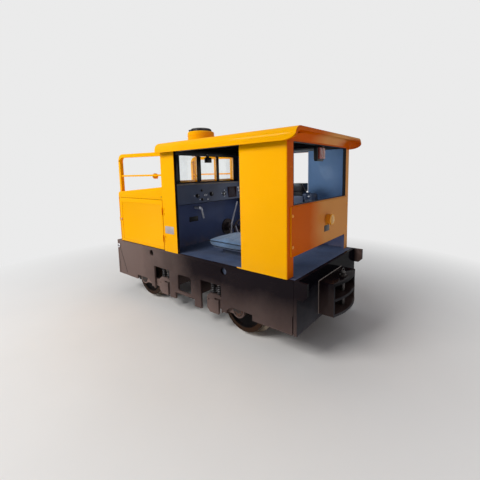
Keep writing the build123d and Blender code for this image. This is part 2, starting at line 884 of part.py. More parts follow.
lever_points = [(lever_x, y, z) for y, z in lever_joints]
lever = bar(lever_points[0], lever_points[1], lever_rod) + bar(lever_points[1], lever_points[2], lever_rod)
lever += Pos(*lever_points[1]) * Sphere(lever_rod)
lever += Pos(*lever_points[0]) * Sphere(lever_rod)
foot_y, foot_z = lever_joints[0]
foot_length, foot_width = lever_foot_size
lever += block(
    (lever_x - foot_length / 2, lever_x + foot_length / 2),
    (foot_y - foot_width / 2, foot_y + foot_width / 2),
    (frame_top, foot_z),
)
save("brake_lever", lever)

# The driver's seat: a steel pedestal with a pan, and a plain pad.
pad_bottom = seat_top - pad_thickness
pan_top = pad_bottom - seat_gap
stand_half = seat_width / 2 - stand_inset
pan_half = seat_width / 2 - pan_inset
seat_middle = Pos(seat_x, seat_y, 0)
stand = block((-stand_half, stand_half), (-stand_half, stand_half), (frame_top, pan_top))
stand += block((-pan_half, pan_half), (-pan_half, pan_half), (pan_top - pan_thickness, pan_top))
save("seat_stand", seat_middle * stand)
pad = Pos(seat_x, seat_y, seat_top - pad_thickness / 2) * Box(seat_width, seat_width, pad_thickness)
save("seat_pad", fillet(pad.edges(), pad_round))
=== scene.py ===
import json
import math
import random
import bmesh
import bpy
from mathutils import Matrix, Vector


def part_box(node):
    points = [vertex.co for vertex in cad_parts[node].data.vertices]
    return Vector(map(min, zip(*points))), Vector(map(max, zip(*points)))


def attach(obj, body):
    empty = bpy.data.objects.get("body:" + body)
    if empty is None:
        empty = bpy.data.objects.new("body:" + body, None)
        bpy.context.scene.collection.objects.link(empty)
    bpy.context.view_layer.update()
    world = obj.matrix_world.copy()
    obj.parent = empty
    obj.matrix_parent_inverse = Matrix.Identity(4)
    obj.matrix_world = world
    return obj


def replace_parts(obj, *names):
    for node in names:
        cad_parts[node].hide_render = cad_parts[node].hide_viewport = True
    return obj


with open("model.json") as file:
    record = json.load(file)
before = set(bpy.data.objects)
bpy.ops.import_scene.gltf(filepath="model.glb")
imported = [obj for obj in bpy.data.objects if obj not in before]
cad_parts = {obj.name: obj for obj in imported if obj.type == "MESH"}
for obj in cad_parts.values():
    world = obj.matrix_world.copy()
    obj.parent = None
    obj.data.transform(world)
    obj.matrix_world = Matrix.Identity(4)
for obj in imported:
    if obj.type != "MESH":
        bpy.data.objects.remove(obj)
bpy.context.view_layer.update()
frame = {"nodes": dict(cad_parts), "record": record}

# Pieces are made in millimetres. Finishes, lamps and the camera take metres.
mm = 0.001
nodes = frame["nodes"]
low = {name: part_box(name)[0] / mm for name in nodes}
high = {name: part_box(name)[1] / mm for name in nodes}
UP = Vector((0, 0, 1))
ALONG = Vector((1, 0, 0))
ACROSS = Vector((0, 1, 0))

# Places that many pieces share, read from the frame
near_face = low["side_plate_near"].y
deck_top = high["side_plate_near"].z
cab_face = high["cab_end_wall"].x
panel_face = high["end_panel"].x
front_wall_out = low["cab_front_wall"].x
front_wall_in = high["cab_front_wall"].x
end_wall_in = low["cab_end_wall"].x
wall_inner = high["cab_front_wall"].y
wall_outer = high["front_column_far"].y
wall_top = high["cab_end_wall"].z
wheel_face = high["wheels_rear"].y
console_edge = high["console"].x - 20
console_rake_foot = low["console"].z + 20
axle_height = (low["wheels_rear"].z + high["wheels_rear"].z) / 2
axle_x = {end: (low[f"wheels_{end}"].x + high[f"wheels_{end}"].x) / 2 for end in ("rear", "front")}

# The end wall's window and the top of the opening under it
window_half, window_low, window_top = 457, 1053, 1464
opening_top = 709.5

WHITE = (1, 1, 1, 1)
BLACK = (0, 0, 0, 1)


def srgb(*levels):
    shares = [level / 255 for level in levels]
    return (*(s / 12.92 if s <= 0.04 else ((s + 0.055) / 1.055) ** 2.4 for s in shares), 1.0)


# Shader tools. A Value is a node's output. Sums with it make Math nodes, and a | b is the greater of two.
def math_node(operation):
    return lambda a, b=0.0: a.graph.math(operation, a, b)


class Value:
    def __init__(self, graph, socket):
        self.graph = graph
        self.socket = socket

    __add__ = math_node("ADD")
    __sub__ = math_node("SUBTRACT")
    __mul__ = math_node("MULTIPLY")
    __truediv__ = math_node("DIVIDE")
    __gt__ = math_node("GREATER_THAN")
    __lt__ = math_node("LESS_THAN")
    __or__ = math_node("MAXIMUM")
    __abs__ = math_node("ABSOLUTE")

    def __rsub__(self, other):
        return self.graph.math("SUBTRACT", other, self)

    def ramp(self, start, end, to_start=0.0, to_end=1.0):
        sockets = {"Value": self, "From Min": start, "From Max": end, "To Min": to_start, "To Max": to_end}
        return self.graph.node("MapRange", sockets)


class Graph:
    def __init__(self, tree):
        self.tree = tree

    @property
    def place(self):
        return self.node("TexCoord", out="Object")

    @property
    def normal(self):
        return self.node("TexCoord", out="Normal")

    def node(self, kind, sockets=None, out=0, **settings):
        made = self.tree.nodes.new("ShaderNode" + kind)
        for key, value in settings.items():
            setattr(made, key, value)
        for key, value in (sockets or {}).items():
            self.feed(made.inputs[key], value)
        return Value(self, made.outputs[out])

    def feed(self, socket, value):
        if isinstance(value, Value):
            self.tree.links.new(value.socket, socket)
        else:
            socket.default_value = value

    def math(self, operation, a, b=0.0, clamp=False):
        return self.node("Math", {0: a, 1: b}, operation=operation, use_clamp=clamp)

    def vector(self, operation, a, b=(0, 0, 0)):
        out = "Value" if operation in ("DOT_PRODUCT", "LENGTH") else 0
        return self.node("VectorMath", {0: a, 1: b}, out, operation=operation)

    def split(self, vector):
        made = self.node("SeparateXYZ", {0: vector}).socket.node
        return [Value(self, out) for out in made.outputs]

    def noise(self, scale, detail=4.0, roughness=0.55, vector=None):
        sockets = {"Vector": vector or self.place, "Scale": scale, "Detail": detail, "Roughness": roughness}
        return self.node("TexNoise", sockets)

    def mix(self, factor, a, b):
        return self.node("Mix", {0: factor, 6: a, 7: b}, 2, data_type="RGBA")

    def use(self, group, **sockets):
        # A group's only output, or the list of its outputs.
        made = self.node("Group", sockets, node_tree=group).socket.node
        outs = [Value(self, out) for out in made.outputs]
        return outs if len(outs) > 1 else outs[0]


# An effect is a node group that several finishes share. Its inputs come with their first values.
def effect(name, build, outputs, **inputs):
    tree = bpy.data.node_groups.new(name, "ShaderNodeTree")
    for label, value in inputs.items():
        kind = {3: "Vector", 4: "Color"}[len(value)] if isinstance(value, tuple) else "Float"
        socket = tree.interface.new_socket(label, in_out="INPUT", socket_type="NodeSocket" + kind)
        socket.default_value = value
    for label in outputs:
        kind = "Color" if label == "Colour" else "Float"
        tree.interface.new_socket(label, in_out="OUTPUT", socket_type="NodeSocket" + kind)
    graph = Graph(tree)
    given = tree.nodes.new("NodeGroupInput").outputs[:len(inputs)]
    results = tree.nodes.new("NodeGroupOutput").inputs
    for socket, value in zip(results, build(graph, *(Value(graph, entry) for entry in given))):
        graph.feed(socket, value)
    return tree


def drifting_tone(graph, colour, amount, scale):
    shift = graph.noise(scale, 3.0).ramp(0.3, 0.7, -1.0, 1.0)
    return [graph.node("HueSaturation", {"Value": shift * amount + 1.0, "Color": colour})]


def dust_on_ledges(graph, colour, dust, amount, floor, reach, scale):
    above = (graph.split(graph.place)[2] - floor) / reach
    lower = graph.math("POWER", graph.math("SUBTRACT", 1.0, above, clamp=True), 2.0)
    facing_up = graph.split(graph.normal)[2].ramp(0.5, 1.0, 0.0, 0.45)
    blotch = graph.noise(scale, 8.0, 0.68).ramp(0.36, 0.7)
    mask = graph.math("MULTIPLY", (lower | facing_up) * blotch, amount, clamp=True)
    return [graph.mix(mask, colour, dust), mask]


def scratched_lines(graph, scale, amount):
    lines = None
    for turn in (0.35, 1.9, 2.7):
        turned = graph.node("VectorRotate", {"Vector": graph.place, "Angle": turn, "Axis": (0.3, 0.6, 0.8)})
        drawn = graph.node("Mapping", {"Vector": turned, "Scale": (1.0, 0.06, 0.9)})
        line = abs(graph.noise(scale, 2.0, 0.4, drawn) - 0.5).ramp(0.004, 0.0)
        lines = line if lines is None else lines | line
    patch = graph.noise(3.0, 2.0).ramp(0.5, 0.62)
    return [graph.math("MULTIPLY", lines * patch, amount, clamp=True)]


def paint_relief(graph, scale, ripple):
    return [graph.noise(scale, 1.0) * 0.02 + graph.noise(4.0, 2.0) * ripple]


def blooming_rust(graph, colour, rust, amount, scale):
    edge = 0.72 - amount * 0.5
    mask = graph.noise(scale, 9.0, 0.7).ramp(edge, edge + 0.12)
    speck = graph.noise(scale * 9.0, 3.0)
    dark = graph.mix(speck, graph.mix(0.55, rust, BLACK), rust)
    return [graph.mix(mask, colour, dark), mask, speck * mask * 0.3]


def between_corners(graph, corner_low, corner_high):
    mask = 1.0
    for here, floor, roof in zip(*(graph.split(v) for v in (graph.place, corner_low, corner_high))):
        mask = (here > floor) * mask * (here < roof)
    return [mask]


tone_drift = effect("tone drift", drifting_tone, ["Colour"], Colour=WHITE, Amount=0.1, Scale=2.0)
settled_dust = effect(
    "settled dust", dust_on_ledges, ["Colour", "Mask"],
    Colour=WHITE, Dust=srgb(150, 138, 122), Amount=0.4, Floor=0.2, Reach=0.5, Scale=9.0,
)
fine_scratches = effect("fine scratches", scratched_lines, ["Mask"], Scale=30.0, Amount=0.5)
sprayed_skin = effect("sprayed skin", paint_relief, ["Height"], Scale=260.0, Ripple=0.4)
rust_bloom = effect(
    "rust bloom", blooming_rust, ["Colour", "Mask", "Height"],
    Colour=WHITE, Rust=srgb(98, 58, 34), Amount=0.5, Scale=14.0,
)
inside_box = effect("inside box", between_corners, ["Mask"], Low=(0, 0, 0), High=(1, 1, 1))

SHADER_SOCKETS = {
    "colour": "Base Color", "metallic": "Metallic", "roughness": "Roughness", "coat": "Coat Weight",
    "coat_roughness": "Coat Roughness", "sheen": "Sheen Weight", "specular": "Specular IOR Level",
    "transmission": "Transmission Weight", "ior": "IOR",
}


# A finish is a material with one Principled shader.
class Finish(Graph):
    def __init__(self, name, coat_roughness=0.08, **sockets):
        self.material = bpy.data.materials.new(name)
        self.material.use_nodes = True
        super().__init__(self.material.node_tree)
        self.shader = self.tree.nodes["Principled BSDF"]
        self.dress(coat_roughness=coat_roughness, **sockets)

    def dress(self, height=None, depth=0.0, **sockets):
        # The height is a relief, and the depth is its size in millimetres.
        for key, value in sockets.items():
            self.feed(self.shader.inputs[SHADER_SOCKETS[key]], value)
        if height:
            relief = self.node("Bump", {"Height": height, "Distance": depth * mm, "Strength": 1.0})
            self.feed(self.shader.inputs["Normal"], relief)
        return self.material


def in_box(graph, corner_low, corner_high):
    return graph.use(inside_box, Low=Vector(corner_low) * mm, High=Vector(corner_high) * mm)


# Body enamel: yellow outside, with painted shade on faces towards the cab end, and slate inside the cab.
def body_enamel(name, end_shade_weight):
    paint = Finish(name, coat=0.12, specular=0.0)
    x, y, z = paint.split(paint.place)
    facing_end, _, facing_up = paint.split(paint.normal)
    arm = paint.vector("SUBTRACT", paint.place, (0, 0, axle_height * mm + 1.0))
    arm = paint.vector("MULTIPLY", arm, (0, 1, 1))
    looks_in = paint.vector("DOT_PRODUCT", arm, paint.normal) < 0.0
    past_wall = x > (cab_face + 0.3) * mm
    above_window = z > (window_top - 10) * mm
    in_peak = looks_in * past_wall * above_window
    # Faces that look to the cab end, down or into the peak take an amber painted shade, made paler on the far
    # side by a painted reflection. The head over the window and the far end of the peak take a deeper painted
    # shade.
    painted_end_shade = ((facing_end | facing_up * -1.0).ramp(0.3, 0.9) | in_peak) * end_shade_weight
    far_side_reflection = (y + paint.noise(2.2) * 0.3).ramp(-0.1, 0.16)
    amber = paint.mix(far_side_reflection, srgb(230, 106, 0), srgb(244, 172, 94))
    head_shade = (1.0 - past_wall) * above_window
    far_peak_shade = in_peak * y.ramp(0.22, 0.42)
    amber = paint.mix(head_shade | far_peak_shade, amber, srgb(216, 100, 10))
    outside = paint.mix(painted_end_shade, srgb(252, 178, 0), amber)
    yellow = paint.use(tone_drift, Colour=outside, Amount=0.03, Scale=1.6)
    # The inner walls are lighter near the end window as painted light, and dark over it and beside the front
    # column.
    dark = srgb(24, 22, 25)
    sunlit = x.ramp(0.5, 0.7) * z.ramp(0.78, 1.0)
    walls = paint.mix(sunlit, srgb(96, 108, 146), srgb(128, 160, 200))
    walls = paint.mix(z.ramp(window_top * mm, (window_top + 4) * mm), walls, dark)
    lining = paint.use(tone_drift, Colour=walls, Amount=0.16, Scale=2.5)
    room = in_box(
        paint, (front_wall_in - 0.5, -wall_inner - 0.5, deck_top - 5),
        (end_wall_in + 0.5, wall_inner + 0.5, wall_top + 0.5),
    )
    jambs = in_box(
        paint, (high["front_column_near"].x - 0.5, -wall_outer + 3, deck_top),
        (low["rear_panel_near"].x + 0.5, wall_outer - 3, wall_top),
    )
    under_roof = in_box(
        paint, (front_wall_in, low["roof"].y + 9, window_top - 2.5),
        (end_wall_in, high["roof"].y - 9, high["roof"].z - 9),
    )
    # The jambs of the opening under the end window take the lining colour as painted shade.
    shaded_end_jambs = in_box(
        paint, (end_wall_in - 1, -window_half - 1, deck_top - 1),
        (cab_face - 1, window_half + 1, opening_top),
    )
    # Under the roof only the faces that look in at the cab are inner ones.
    inner = room | jambs | under_roof * looks_in | shaded_end_jambs
    lit_doorway_start = 0.2
    dark_doorway = jambs * (x < lit_doorway_start)
    colour = paint.mix(inner, yellow, paint.mix(dark_doorway, lining, dark))
    dusty, dust = paint.use(
        settled_dust, Colour=colour, Dust=srgb(208, 160, 64), Amount=0.25, Floor=deck_top * mm, Reach=0.16,
    )
    marks = paint.use(fine_scratches, Scale=26.0, Amount=0.25)
    pale = paint.mix(marks, dusty, srgb(255, 206, 70))
    smear = paint.noise(5.0, 6.0, 0.65).ramp(0.3, 0.75, 0.24, 0.42)
    return paint.dress(
        colour=paint.mix(inner, pale, dusty), roughness=smear + dust * 0.4,
        coat=dust.ramp(0.0, 0.5, 0.12, 0.04),
        height=paint.use(sprayed_skin, Scale=240.0, Ripple=0.5), depth=1.2,
    )


# Frame enamel: glossy dark brown, with a pale painted reflection of the ground towards the hood end and low
# down, where it is partly dust, painted light on the far lug, and painted shade towards the cab end.
def frame_enamel(name, reflection_weight):
    paint = Finish(name, coat=0.16, coat_roughness=0.12, specular=0.0)
    x, y, z = paint.split(paint.place)
    plate_end = high["side_plate_far"].x
    far_side = 0.4
    # Faces towards the cab end take a darker, cooler painted shade, and a cooler painted reflection.
    end_shade = (x > (plate_end + 4) * mm) * paint.split(paint.normal)[0].ramp(0.3, 0.8)
    bare = paint.mix(end_shade, srgb(21, 14, 19), srgb(12, 11, 18))
    base = paint.use(tone_drift, Colour=bare, Amount=0.2, Scale=2.2)
    # The pale film is a painted reflection of the ground towards the hood end and low down, where it is
    # partly dust, and painted light on the far lug.
    drift = (paint.noise(2.6, 5.0) - 0.5) * 0.7
    hood_reflection = (x + drift).ramp(-0.6, 0.2, 1.0, 0.0)
    low_reflection_and_dust = (z + drift * 0.4).ramp(0.16, 0.46, 0.62, 0.0)
    far_lug_light = (y > far_side) * x.ramp((plate_end + 28) * mm, (plate_end + 62) * mm)
    film = (hood_reflection | low_reflection_and_dust) * reflection_weight | far_lug_light * 0.5
    with_painted_reflection = paint.mix(film, base, paint.mix(end_shade, srgb(150, 128, 121), srgb(124, 130, 140)))
    dusty, dust = paint.use(
        settled_dust, Colour=with_painted_reflection, Dust=srgb(122, 98, 90), Amount=0.22, Floor=0.12, Reach=0.4,
    )
    marks = paint.use(fine_scratches, Scale=18.0, Amount=0.1)
    return paint.dress(
        colour=paint.mix(marks, dusty, srgb(104, 84, 80)), roughness=dust.ramp(0.0, 0.5, 0.3, 0.6),
        coat=dust.ramp(0.0, 0.45, 0.16, 0.04),
        height=paint.use(sprayed_skin, Scale=180.0, Ripple=1.1), depth=1.4,
    )


# Enamel on the cab fittings.
def cab_enamel(name, colour, dust_amount=0.3):
    paint = Finish(name, coat=0.1, coat_roughness=0.2, specular=0.3)
    base = paint.use(tone_drift, Colour=colour, Amount=0.14, Scale=5.0)
    dusty, dust = paint.use(
        settled_dust, Colour=base, Dust=srgb(128, 130, 134), Amount=dust_amount, Floor=deck_top * mm,
        Reach=0.3, Scale=16.0,
    )
    marks = paint.use(fine_scratches, Scale=34.0, Amount=0.55)
    return paint.dress(
        colour=paint.mix(marks, dusty, srgb(120, 128, 140)), roughness=dust.ramp(0.0, 0.5, 0.38, 0.7),
        height=paint.use(sprayed_skin, Scale=320.0, Ripple=0.3), depth=1.0,
    )


# Worn floor plate with raised lozenges.
def tread_plate():
    plate = Finish("tread plate", specular=0.2)
    base = plate.use(tone_drift, Colour=srgb(74, 88, 118), Amount=0.2, Scale=6.0)
    dusty, _ = plate.use(
        settled_dust, Colour=base, Dust=srgb(112, 110, 112), Amount=0.4, Floor=0.0, Reach=0.4, Scale=7.0,
    )
    bars = None
    cells_per_metre = (34, 34, 34)
    for turn, offset in ((0.785, 0.0), (-0.785, 0.5)):
        turned = plate.node("VectorRotate", {"Vector": plate.place, "Angle": turn}, rotation_type="Z_AXIS")
        cell = plate.vector("ADD", plate.vector("MULTIPLY", turned, cells_per_metre), (offset,) * 3)
        middle = plate.vector("SUBTRACT", plate.vector("FRACTION", cell), (0.5, 0.5, 0.5))
        bar = plate.vector("LENGTH", plate.vector("MULTIPLY", middle, (1.0, 3.2, 0.0))).ramp(0.36, 0.26)
        bars = bar if bars is None else bars | bar
    worn = bars * plate.noise(6.0).ramp(0.45, 0.65, 0.05, 0.55)
    return plate.dress(
        colour=plate.mix(worn, dusty, srgb(84, 90, 100)), metallic=worn * 0.7,
        roughness=worn.ramp(0.0, 0.8, 0.62, 0.36), height=bars, depth=1.6,
    )


# Bare, oiled or painted metal with a rust bloom and fine scratches.
def bare_metal(name, colour, rust, roughness, metallic=1.0, grain=0.6):
    metal = Finish(name, metallic=metallic)
    base = metal.use(tone_drift, Colour=colour, Amount=0.16, Scale=12.0)
    bloomed, bloom, relief = metal.use(rust_bloom, Colour=base, Amount=rust, Scale=26.0)
    marks = metal.use(fine_scratches, Scale=60.0, Amount=0.5)
    return metal.dress(
        colour=metal.mix(marks, bloomed, metal.mix(0.5, colour, WHITE)),
        metallic=bloom.ramp(0.0, 1.0, metallic, metallic * 0.15),
        roughness=bloom.ramp(0.0, 1.0, roughness, 0.85),
        height=metal.noise(190.0, 3.0) * grain + relief, depth=0.8,
    )


# The wheel's finish goes by the distance from the axle: dark web, brown tyre face, bright tread.
def wheel_iron(end):
    iron = Finish(f"wheel iron {end}", specular=0.08)
    spoke = iron.vector("SUBTRACT", iron.place, (axle_x[end] * mm, 0, axle_height * mm))
    radius = iron.vector("LENGTH", iron.vector("MULTIPLY", spoke, (1, 0, 1)))
    tyre_inner, tread = 0.157, 0.1925
    tyre = radius.ramp(tyre_inner, tyre_inner + 0.003)
    on_rail = (radius > tread) * (abs(iron.split(spoke)[1]) < (wheel_face - 8) * mm)
    web, *_ = iron.use(rust_bloom, Colour=srgb(18, 16, 17), Rust=srgb(48, 32, 26), Amount=0.35, Scale=20.0)
    face, _, relief = iron.use(
        rust_bloom, Colour=srgb(52, 42, 36), Rust=srgb(66, 44, 30), Amount=0.6, Scale=24.0,
    )
    return iron.dress(
        colour=iron.mix(on_rail, iron.mix(tyre, web, face), srgb(150, 138, 122)),
        metallic=tyre * 0.35 | on_rail, roughness=on_rail.ramp(0.0, 1.0, 0.62, 0.3),
        height=iron.noise(150.0, 4.0, 0.7) + relief, depth=0.9,
    )


# Black rubber and moulded plastic.
def dark_moulding(name, colour, roughness):
    moulding = Finish(name, specular=0.25)
    base = moulding.use(tone_drift, Colour=colour, Amount=0.22, Scale=18.0)
    dusty, _ = moulding.use(
        settled_dust, Colour=base, Dust=srgb(104, 98, 90), Amount=0.35, Floor=0.0, Reach=0.1, Scale=30.0,
    )
    grain = moulding.noise(420.0, 2.0)
    return moulding.dress(
        colour=dusty, roughness=grain.ramp(0.3, 0.7, roughness - 0.06, roughness + 0.08),
        height=grain * 0.25, depth=0.6,
    )


# Window glass with a light film of dust.
def window_glass():
    pane = Finish("window glass", transmission=1.0, ior=1.45)
    film = pane.noise(9.0, 6.0, 0.7).ramp(0.45, 0.75)
    colour = pane.mix(film, (0.93, 0.96, 0.96, 1), (0.84, 0.86, 0.85, 1))
    return pane.dress(colour=colour, roughness=film.ramp(0.0, 1.0, 0.0, 0.09))


# Moulded lens: rows of small prisms under a clear skin, with the glow colour on the rows as a painted
# highlight.
def ribbed_lens(name, colour, glow, across=95.0, coat=0.8):
    lens = Finish(name, coat=coat, coat_roughness=0.03, specular=0.6 * coat)
    rows = lens.node("TexWave", {"Vector": lens.place, "Scale": across}, out="Fac", bands_direction="Z")
    return lens.dress(
        colour=lens.mix(rows.ramp(0.2, 0.9), colour, glow), roughness=rows.ramp(0.0, 1.0, 0.12, 0.26),
        height=rows, depth=1.4,
    )


# Close-woven seat cloth.
def seat_cloth():
    cloth = Finish("seat cloth", sheen=0.35, specular=0.25)
    bands = []
    for turn in (0.0, math.pi / 2):
        turned = cloth.node("VectorRotate", {"Vector": cloth.place, "Angle": turn, "Axis": (0.15, 0.2, 0.97)})
        bands.append(cloth.node("TexWave", {"Vector": turned, "Scale": 120.0, "Distortion": 0.6}, out="Fac"))
    weave = bands[0] * bands[1]
    base = cloth.use(tone_drift, Colour=srgb(94, 122, 156), Amount=0.32, Scale=7.0)
    dusty, _ = cloth.use(
        settled_dust, Colour=base, Dust=srgb(150, 146, 138), Amount=0.5, Floor=0.0, Reach=0.1, Scale=12.0,
    )
    return cloth.dress(
        colour=cloth.mix(weave * 0.35, dusty, srgb(30, 40, 56)), roughness=weave.ramp(0.0, 1.0, 0.78, 0.92),
        height=weave, depth=0.7,
    )


yellow = body_enamel("body enamel", 1.0)
rail_yellow = body_enamel("rail enamel", 0.2)
brown = frame_enamel("frame enamel", 0.52)
casting_brown = frame_enamel("casting enamel", 0.78)
slate = cab_enamel("slate enamel", srgb(56, 68, 92))
header_black = cab_enamel("black enamel", srgb(22, 20, 23), 0.08)
console_slate = cab_enamel("console enamel", srgb(86, 96, 120), 0.25)
fitting_enamel = cab_enamel("fitting enamel", srgb(255, 184, 44), 0.1)
dull_alloy = bare_metal("dull alloy", srgb(124, 116, 110), 0.1, 0.5, metallic=0.3, grain=0.3)
lever_steel = bare_metal("lever steel", srgb(150, 148, 156), 0.1, 0.5, metallic=0.4, grain=0.3)
chrome_cap = bare_metal("chrome cap", srgb(222, 222, 228), 0.0, 0.3, metallic=0.4, grain=0.1)
weld_steel = bare_metal("weld steel", srgb(118, 108, 104), 0.15, 0.4, metallic=0.4)
bolt_paint = bare_metal("bolt paint", srgb(255, 172, 44), 0.0, 0.35, metallic=0.1, grain=0.2)
wheel_brown = bare_metal("hand wheel iron", srgb(46, 32, 32), 0.3, 0.5, metallic=0.2)
plate_floor = tread_plate()
dark_steel = bare_metal("oiled steel", srgb(64, 62, 62), 0.25, 0.42, metallic=0.85)
bright_steel = bare_metal("polished steel", srgb(196, 194, 190), 0.1, 0.16, grain=0.1)
plate_silver = bare_metal("plate aluminium", srgb(190, 180, 180), 0.05, 0.34, metallic=0.7, grain=0.3)
cast_iron = bare_metal("cast iron", srgb(36, 31, 30), 0.4, 0.7, metallic=0.15, grain=1.6)
spring_steel = bare_metal("spring steel", srgb(46, 44, 46), 0.2, 0.38, metallic=0.6)
rubber = dark_moulding("black rubber", srgb(20, 20, 21), 0.6)
black_plastic = dark_moulding("black plastic", srgb(26, 25, 27), 0.36)
vent_brown = dark_moulding("vent moulding", srgb(48, 26, 32), 0.5)
glass = window_glass()
red_lens = ribbed_lens("red lens", srgb(128, 30, 20), srgb(198, 74, 56))
# The pale pink of this lens half is a painted highlight.
painted_highlight_lens = ribbed_lens("pink lens", srgb(176, 92, 80), srgb(242, 200, 190))
amber_lens = ribbed_lens("amber lens", srgb(255, 160, 24), srgb(255, 222, 110), 60.0, 0.3)
clear_lens = ribbed_lens("clear lens", srgb(190, 190, 180), srgb(240, 238, 228), 60.0)
seat_weave = seat_cloth()

# The first finish of a slot is for its CAD nodes, and the others are for pieces that are made here.
FINISHES = {
    "body_yellow": (yellow, rail_yellow, fitting_enamel, bolt_paint),
    "frame_paint": (brown, weld_steel),
    "floor_steel": (plate_floor,),
    "dark_steel": (dark_steel, spring_steel),
    "bright_steel": (bright_steel, plate_silver, chrome_cap, dull_alloy, lever_steel),
    "cast_iron": (cast_iron,),
    "cab_grey": (slate, header_black),
    "black_plastic": (black_plastic, rubber, vent_brown),
    "glass": (glass, amber_lens, clear_lens),
    "red_lens": (red_lens, painted_highlight_lens),
    "seat_fabric": (seat_weave,),
}
NODE_FINISH = {
    "wheels_rear": wheel_iron("rear"), "wheels_front": wheel_iron("front"), "cant_rails": header_black,
    "roof_drum": rail_yellow, "guard_near": rail_yellow, "guard_far": rail_yellow,
    "console": console_slate, "spring_arms": casting_brown, "brake_lever": lever_steel,
    "crank_handle": chrome_cap, "hand_wheel": wheel_brown,
}
# Widths of the rounded edges, in millimetres; the other slots keep their CAD edges.
EDGE_WIDTHS = {
    "body_yellow": 1.6, "frame_paint": 1.6, "cab_grey": 1.2, "black_plastic": 1.0, "red_lens": 1.0,
}


# Smooth shading on curves, with edges sharper than the angle left sharp.
def make_smooth_curves(angle):
    tree = bpy.data.node_groups.new("smooth curves", "GeometryNodeTree")
    for way in ("INPUT", "OUTPUT"):
        tree.interface.new_socket("Geometry", in_out=way, socket_type="NodeSocketGeometry")
    entry = tree.nodes.new("NodeGroupInput")
    exit_ = tree.nodes.new("NodeGroupOutput")
    forget = tree.nodes.new("GeometryNodeRemoveAttribute")
    forget.inputs["Name"].default_value = "custom_normal"
    faces = tree.nodes.new("GeometryNodeSetShadeSmooth")
    edges = tree.nodes.new("GeometryNodeSetShadeSmooth")
    edges.domain = "EDGE"
    edges.inputs["Shade Smooth"].default_value = False
    bend = tree.nodes.new("GeometryNodeInputMeshEdgeAngle")
    sharp = tree.nodes.new("FunctionNodeCompare")
    sharp.operation = "GREATER_THAN"
    sharp.inputs["B"].default_value = math.radians(angle)
    chain = (entry, forget, faces, edges, exit_)
    for before, after in zip(chain, chain[1:]):
        tree.links.new(before.outputs["Geometry"], after.inputs["Geometry"])
    tree.links.new(bend.outputs["Unsigned Angle"], sharp.inputs["A"])
    tree.links.new(sharp.outputs["Result"], edges.inputs["Selection"])
    return tree


smooth_curves = make_smooth_curves(32)


def shade_smooth(piece):
    piece.modifiers.new("smooth curves", "NODES").node_group = smooth_curves


# CAD nodes: each takes the finish of its slot or its own, rounded edges where its slot has them, and
# smooth curves.
def dress_node(name, slot):
    node = nodes[name]
    if not node.data.materials:
        node.data.materials.append(None)
    for place in node.material_slots:
        place.link = "OBJECT"
        place.material = NODE_FINISH.get(name, FINISHES[slot][0])
    join = node.modifiers.new("join faces", "WELD")
    join.merge_threshold = 0.02 * mm
    if slot in EDGE_WIDTHS:
        edge = node.modifiers.new("round edges", "BEVEL")
        edge.width = EDGE_WIDTHS[slot] * mm
        edge.segments = 2
        edge.limit_method = "ANGLE"
        edge.angle_limit = math.radians(40)
        edge.use_clamp_overlap = True
    shade_smooth(node)


for row in frame["record"]["subparts"]:
    dress_node(row["node"], row["material_slot"])


# Mesh tools
def add_piece(name, bm, finish, body="frame"):
    bmesh.ops.recalc_face_normals(bm, faces=bm.faces)
    mesh = bpy.data.meshes.new(name)
    bm.to_mesh(mesh)
    bm.free()
    mesh.transform(Matrix.Scale(mm, 4))
    mesh.materials.append(finish)
    piece = bpy.data.objects.new(name, mesh)
    bpy.context.scene.collection.objects.link(piece)
    shade_smooth(piece)
    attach(piece, body)
    return piece


def frame_of(direction):
    direction = Vector(direction).normalized()
    side = UP.cross(direction) if abs(direction.z) < 0.9 else direction.orthogonal()
    side.normalize()
    return side, direction.cross(side).normalized(), direction


def circle(centre, side, other, radius, count, turn=0.0):
    angles = [turn + 2 * math.pi * step / count for step in range(count)]
    return [centre + (side * math.cos(a) + other * math.sin(a)) * radius for a in angles]


def curve(start, corner, end, steps):
    # Leaves the start towards the corner and comes into the end from it.
    shares = [step / steps for step in range(steps + 1)]
    return [start * (1 - t) ** 2 + corner * 2 * t * (1 - t) + end * t ** 2 for t in shares]


def add_rings(bm, rings, closed=False):
    # A skin over rings of points, where one point is a tip. Open ends are capped.
    rows = [[bm.verts.new(point) for point in ring] for ring in rings]
    ends = [] if closed else [rows[0], rows[-1]]
    for first, second in zip(rows, rows[1:] + (rows[:1] if closed else [])):
        for step in range(max(len(first), len(second))):
            after = step + 1
            corners = [first[step % len(first)], first[after % len(first)]]
            corners += [second[after % len(second)], second[step % len(second)]]
            unique = list(dict.fromkeys(corners))
            if len(unique) > 2:
                bm.faces.new(unique)
    for end in ends:
        if len(end) > 2:
            bm.faces.new(end)


def add_block(bm, lower, upper, bevel=0.0):
    lower, upper = Vector(lower), Vector(upper)
    made = bmesh.ops.create_cube(bm, size=1.0)
    bmesh.ops.scale(bm, verts=made["verts"], vec=upper - lower)
    bmesh.ops.translate(bm, verts=made["verts"], vec=(lower + upper) / 2)
    if bevel:
        edges = list({edge for vert in made["verts"] for edge in vert.link_edges})
        bmesh.ops.bevel(bm, geom=edges, offset=bevel, segments=2, profile=0.5, affect="EDGES")


def add_lathe(bm, profile, centre, direction, segments=32):
    # The profile is a list of radius and distance along the direction.
    side, other, along = frame_of(direction)
    add_rings(bm, [
        circle(Vector(centre) + along * reach, side, other, radius, segments if radius > 0.001 else 1)
        for radius, reach in profile
    ])


